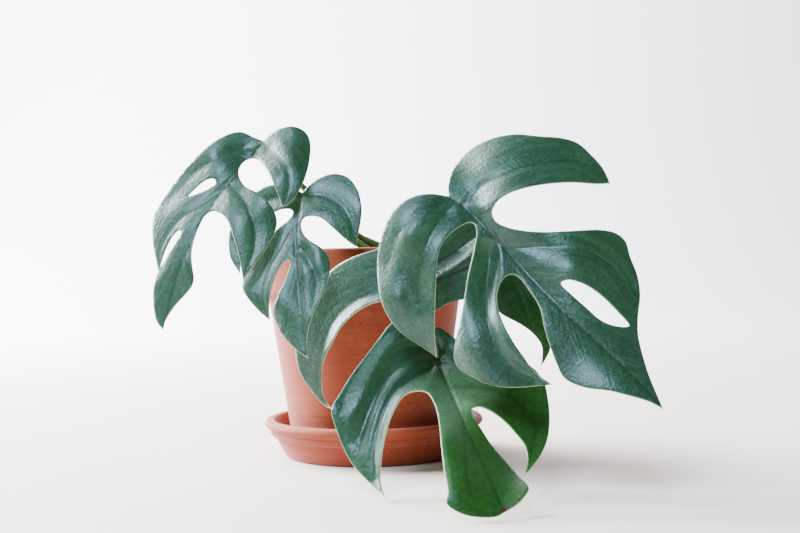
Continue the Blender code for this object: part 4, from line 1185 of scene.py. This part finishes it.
def paint_soil(tree):
    """Moist potting mix: dark brown crumbs of uneven shade, rough and without shine."""
    place = add_node(tree, "ShaderNodeTexCoord").outputs["Object"]
    cloud = {"Vector": place, "Scale": per_metre(3.84615), "Detail": 3, "Roughness": 0.55}
    cloud = add_node(tree, "ShaderNodeTexNoise", cloud)
    grain = {"Vector": place, "Scale": per_metre(0.66667), "Detail": 4, "Roughness": 0.7}
    grain = add_node(tree, "ShaderNodeTexNoise", grain)
    wire(tree.nodes["Principled BSDF"], {
        "Base Color": layered(tree, srgb("#2b1d14"), [
            (cloud, 0.35, 0.68, 0, 1, "#4d3726"),
            (grain, 0.6, 0.8, 0, 0.5, "#7a5d42"),
        ]),
        "Roughness": 0.92,
        "Normal": raised(tree, [(grain, 0.6)]),
    })


def paint_floor(tree):
    """Matte painted studio floor: pale and warm in front, whiter where it turns up into the wall."""
    place = add_node(tree, "ShaderNodeTexCoord").outputs["Object"]
    cloud = {"Vector": place, "Scale": per_metre(333.33), "Detail": 2, "Roughness": 0.55}
    cloud = add_node(tree, "ShaderNodeTexNoise", cloud)
    back = add_node(tree, "ShaderNodeSeparateXYZ", {0: place}).outputs["Y"]
    pale = layered(tree, srgb("#c4b7ab"), [
        (cloud, 0, 1, 0, 1, "#cbbfb4"),
        (back, 0.3, 1.6, 0, 1, "#dcdadd"),
    ])
    wire(tree.nodes["Principled BSDF"], {"Base Color": pale, "Roughness": 0.7})


def add_light(name, place, aim, size, watts, code):
    """A soft area light."""
    lamp = bpy.data.lights.new(name, "AREA")
    lamp.shape = "RECTANGLE"
    lamp.size, lamp.size_y = size
    lamp.energy = watts
    lamp.color = srgb(code)[:3]
    holder = bpy.data.objects.new(name, lamp)
    holder.location = place
    holder.rotation_euler = (Vector(aim) - Vector(place)).to_track_quat("-Z", "Y").to_euler()
    holder.visible_camera = False
    bpy.context.scene.collection.objects.link(holder)


def add_stage(looks):
    """A pale floor that turns up into a wall at the back, soft lights, the room's light and the camera."""
    bend = np.linspace(0, math.pi / 2, BEND_PARTS)
    line = [(-FLOOR_REACH, 0), (FLOOR_BEND, 0)]
    line += [(FLOOR_BEND + BEND_RADIUS * math.sin(t), BEND_RADIUS * (1 - math.cos(t))) for t in bend[1:]]
    line.append((FLOOR_BEND + BEND_RADIUS, WALL_HEIGHT))
    points = [(x, y, z) for y, z in line for x in (-FLOOR_REACH, FLOOR_REACH)]
    faces = [(2 * k, 2 * k + 1, 2 * k + 3, 2 * k + 2) for k in range(len(line) - 1)]
    mesh = bpy.data.meshes.new("studio_floor")
    mesh.from_pydata(points, [], faces)
    mesh.shade_smooth()
    mesh.materials.append(material("pale studio floor", paint_floor))
    floor = bpy.data.objects.new("studio_floor", mesh)
    bpy.context.scene.collection.objects.link(floor)

    for name, place, aim, size, share, code in LIGHTS:
        add_light(name, place, aim, size, looks.window_power * share, code)

    world = bpy.data.worlds.new("pale room light")
    world.use_nodes = True
    tree = world.node_tree
    room = tree.nodes["Background"]
    wire(room, {0: srgb("#f6efe9"), 1: looks.room_light})
    seen = add_node(tree, "ShaderNodeBackground", {0: srgb("#eeeef0"), 1: SEEN_WALL})
    rays = add_node(tree, "ShaderNodeLightPath").outputs["Is Camera Ray"]
    either = add_node(tree, "ShaderNodeMixShader", {0: rays, 1: room, 2: seen})
    wire(tree.nodes["World Output"], {0: either})
    bpy.context.scene.world = world

    lens = bpy.data.cameras.new("camera")
    lens.sensor_fit = "HORIZONTAL"
    lens.sensor_width = SENSOR
    lens.lens = FOCAL / PICTURE_WIDTH * SENSOR
    lens.clip_start = 0.01
    camera = bpy.data.objects.new("camera", lens)
    camera.location = EYE
    camera.rotation_euler = (math.pi / 2, TILT, 0)
    bpy.context.scene.collection.objects.link(camera)
    bpy.context.scene.camera = camera


class PlantLooks(PropertyGroup):
    """What can be changed about the dressed plant."""

    leaf_step: FloatProperty(name="Leaf detail", description="Mesh spacing on the blades, in millimetres",
                             default=0.9, min=0.5, max=5)
    relief: FloatProperty(name="Vein relief",
                          description="Depth of the sunken veins, as a share of the plant's own",
                          default=1.0, min=0, max=2, subtype="FACTOR")
    crumb_spacing: FloatProperty(name="Crumb spacing",
                                 description="Least distance between soil crumbs, in millimetres",
                                 default=2.0, min=0.5, max=10)
    seed: IntProperty(name="Seed", description="Another seed strews the crumbs another way", default=7, min=0)
    window_power: FloatProperty(name="Window power", description="Power of the window light, in watts",
                                default=580, min=0, subtype="POWER")
    room_light: FloatProperty(name="Room light", description="Strength of the even light all round",
                              default=0.15, min=0)


def looks_of(context):
    """The settings in the sidebar."""
    return context.scene.plant_looks


class PLANT_OT_clay(Operator):
    """Make the clay pot and its saucer"""

    bl_idname = "plant.clay"
    bl_label = "Pot and Saucer"
    bl_options = {"REGISTER", "UNDO"}

    def execute(self, context):
        clay_piece("pot", pot_profile(), POT_X)
        clay_piece("saucer", saucer_profile())
        return {"FINISHED"}


class PLANT_OT_soil(Operator):
    """Make the soil with its loose crumbs"""

    bl_idname = "plant.soil"
    bl_label = "Soil"
    bl_options = {"REGISTER", "UNDO"}

    def execute(self, context):
        soil_piece()
        crumbs_piece(looks_of(context))
        return {"FINISHED"}


class PLANT_OT_stem(Operator):
    """Make the stem and the leaf stalks"""

    bl_idname = "plant.stem"
    bl_label = "Stem and Stalks"
    bl_options = {"REGISTER", "UNDO"}

    def execute(self, context):
        stem_piece()
        return {"FINISHED"}


class PLANT_OT_leaves(Operator):
    """Make the five leaf blades"""

    bl_idname = "plant.leaves"
    bl_label = "Leaves"
    bl_options = {"REGISTER", "UNDO"}

    def execute(self, context):
        for leaf_name, leaf in LEAVES.items():
            blade_piece("leaf_" + leaf_name, leaf, looks_of(context))
        return {"FINISHED"}


class PLANT_OT_stage(Operator):
    """Set up the floor, the lights and the camera"""

    bl_idname = "plant.stage"
    bl_label = "Stage"
    bl_options = {"REGISTER", "UNDO"}

    def execute(self, context):
        add_stage(looks_of(context))
        return {"FINISHED"}


class PLANT_PT_panel(Panel):
    """Buttons and settings of the plant"""

    bl_label = "Mini Monstera"
    bl_idname = "PLANT_PT_panel"
    bl_space_type = "VIEW_3D"
    bl_region_type = "UI"
    bl_category = "Plant"

    def draw(self, context):
        layout = self.layout
        for name in PlantLooks.__annotations__:
            layout.prop(looks_of(context), name)
        for step in STEPS:
            layout.operator(step.bl_idname)


STEPS = (PLANT_OT_clay, PLANT_OT_soil, PLANT_OT_stem, PLANT_OT_leaves, PLANT_OT_stage)
CLASSES = (PlantLooks, *STEPS, PLANT_PT_panel)


def register():
    for cls in CLASSES:
        bpy.utils.register_class(cls)
    bpy.types.Scene.plant_looks = PointerProperty(type=PlantLooks)


def unregister():
    del bpy.types.Scene.plant_looks
    for cls in reversed(CLASSES):
        bpy.utils.unregister_class(cls)


def main():
    """Makes every piece, then the stage."""
    register()
    bpy.ops.plant.clay()
    bpy.ops.plant.soil()
    bpy.ops.plant.stem()
    bpy.ops.plant.leaves()
    bpy.ops.plant.stage()


if __name__ == "__main__":
    main()
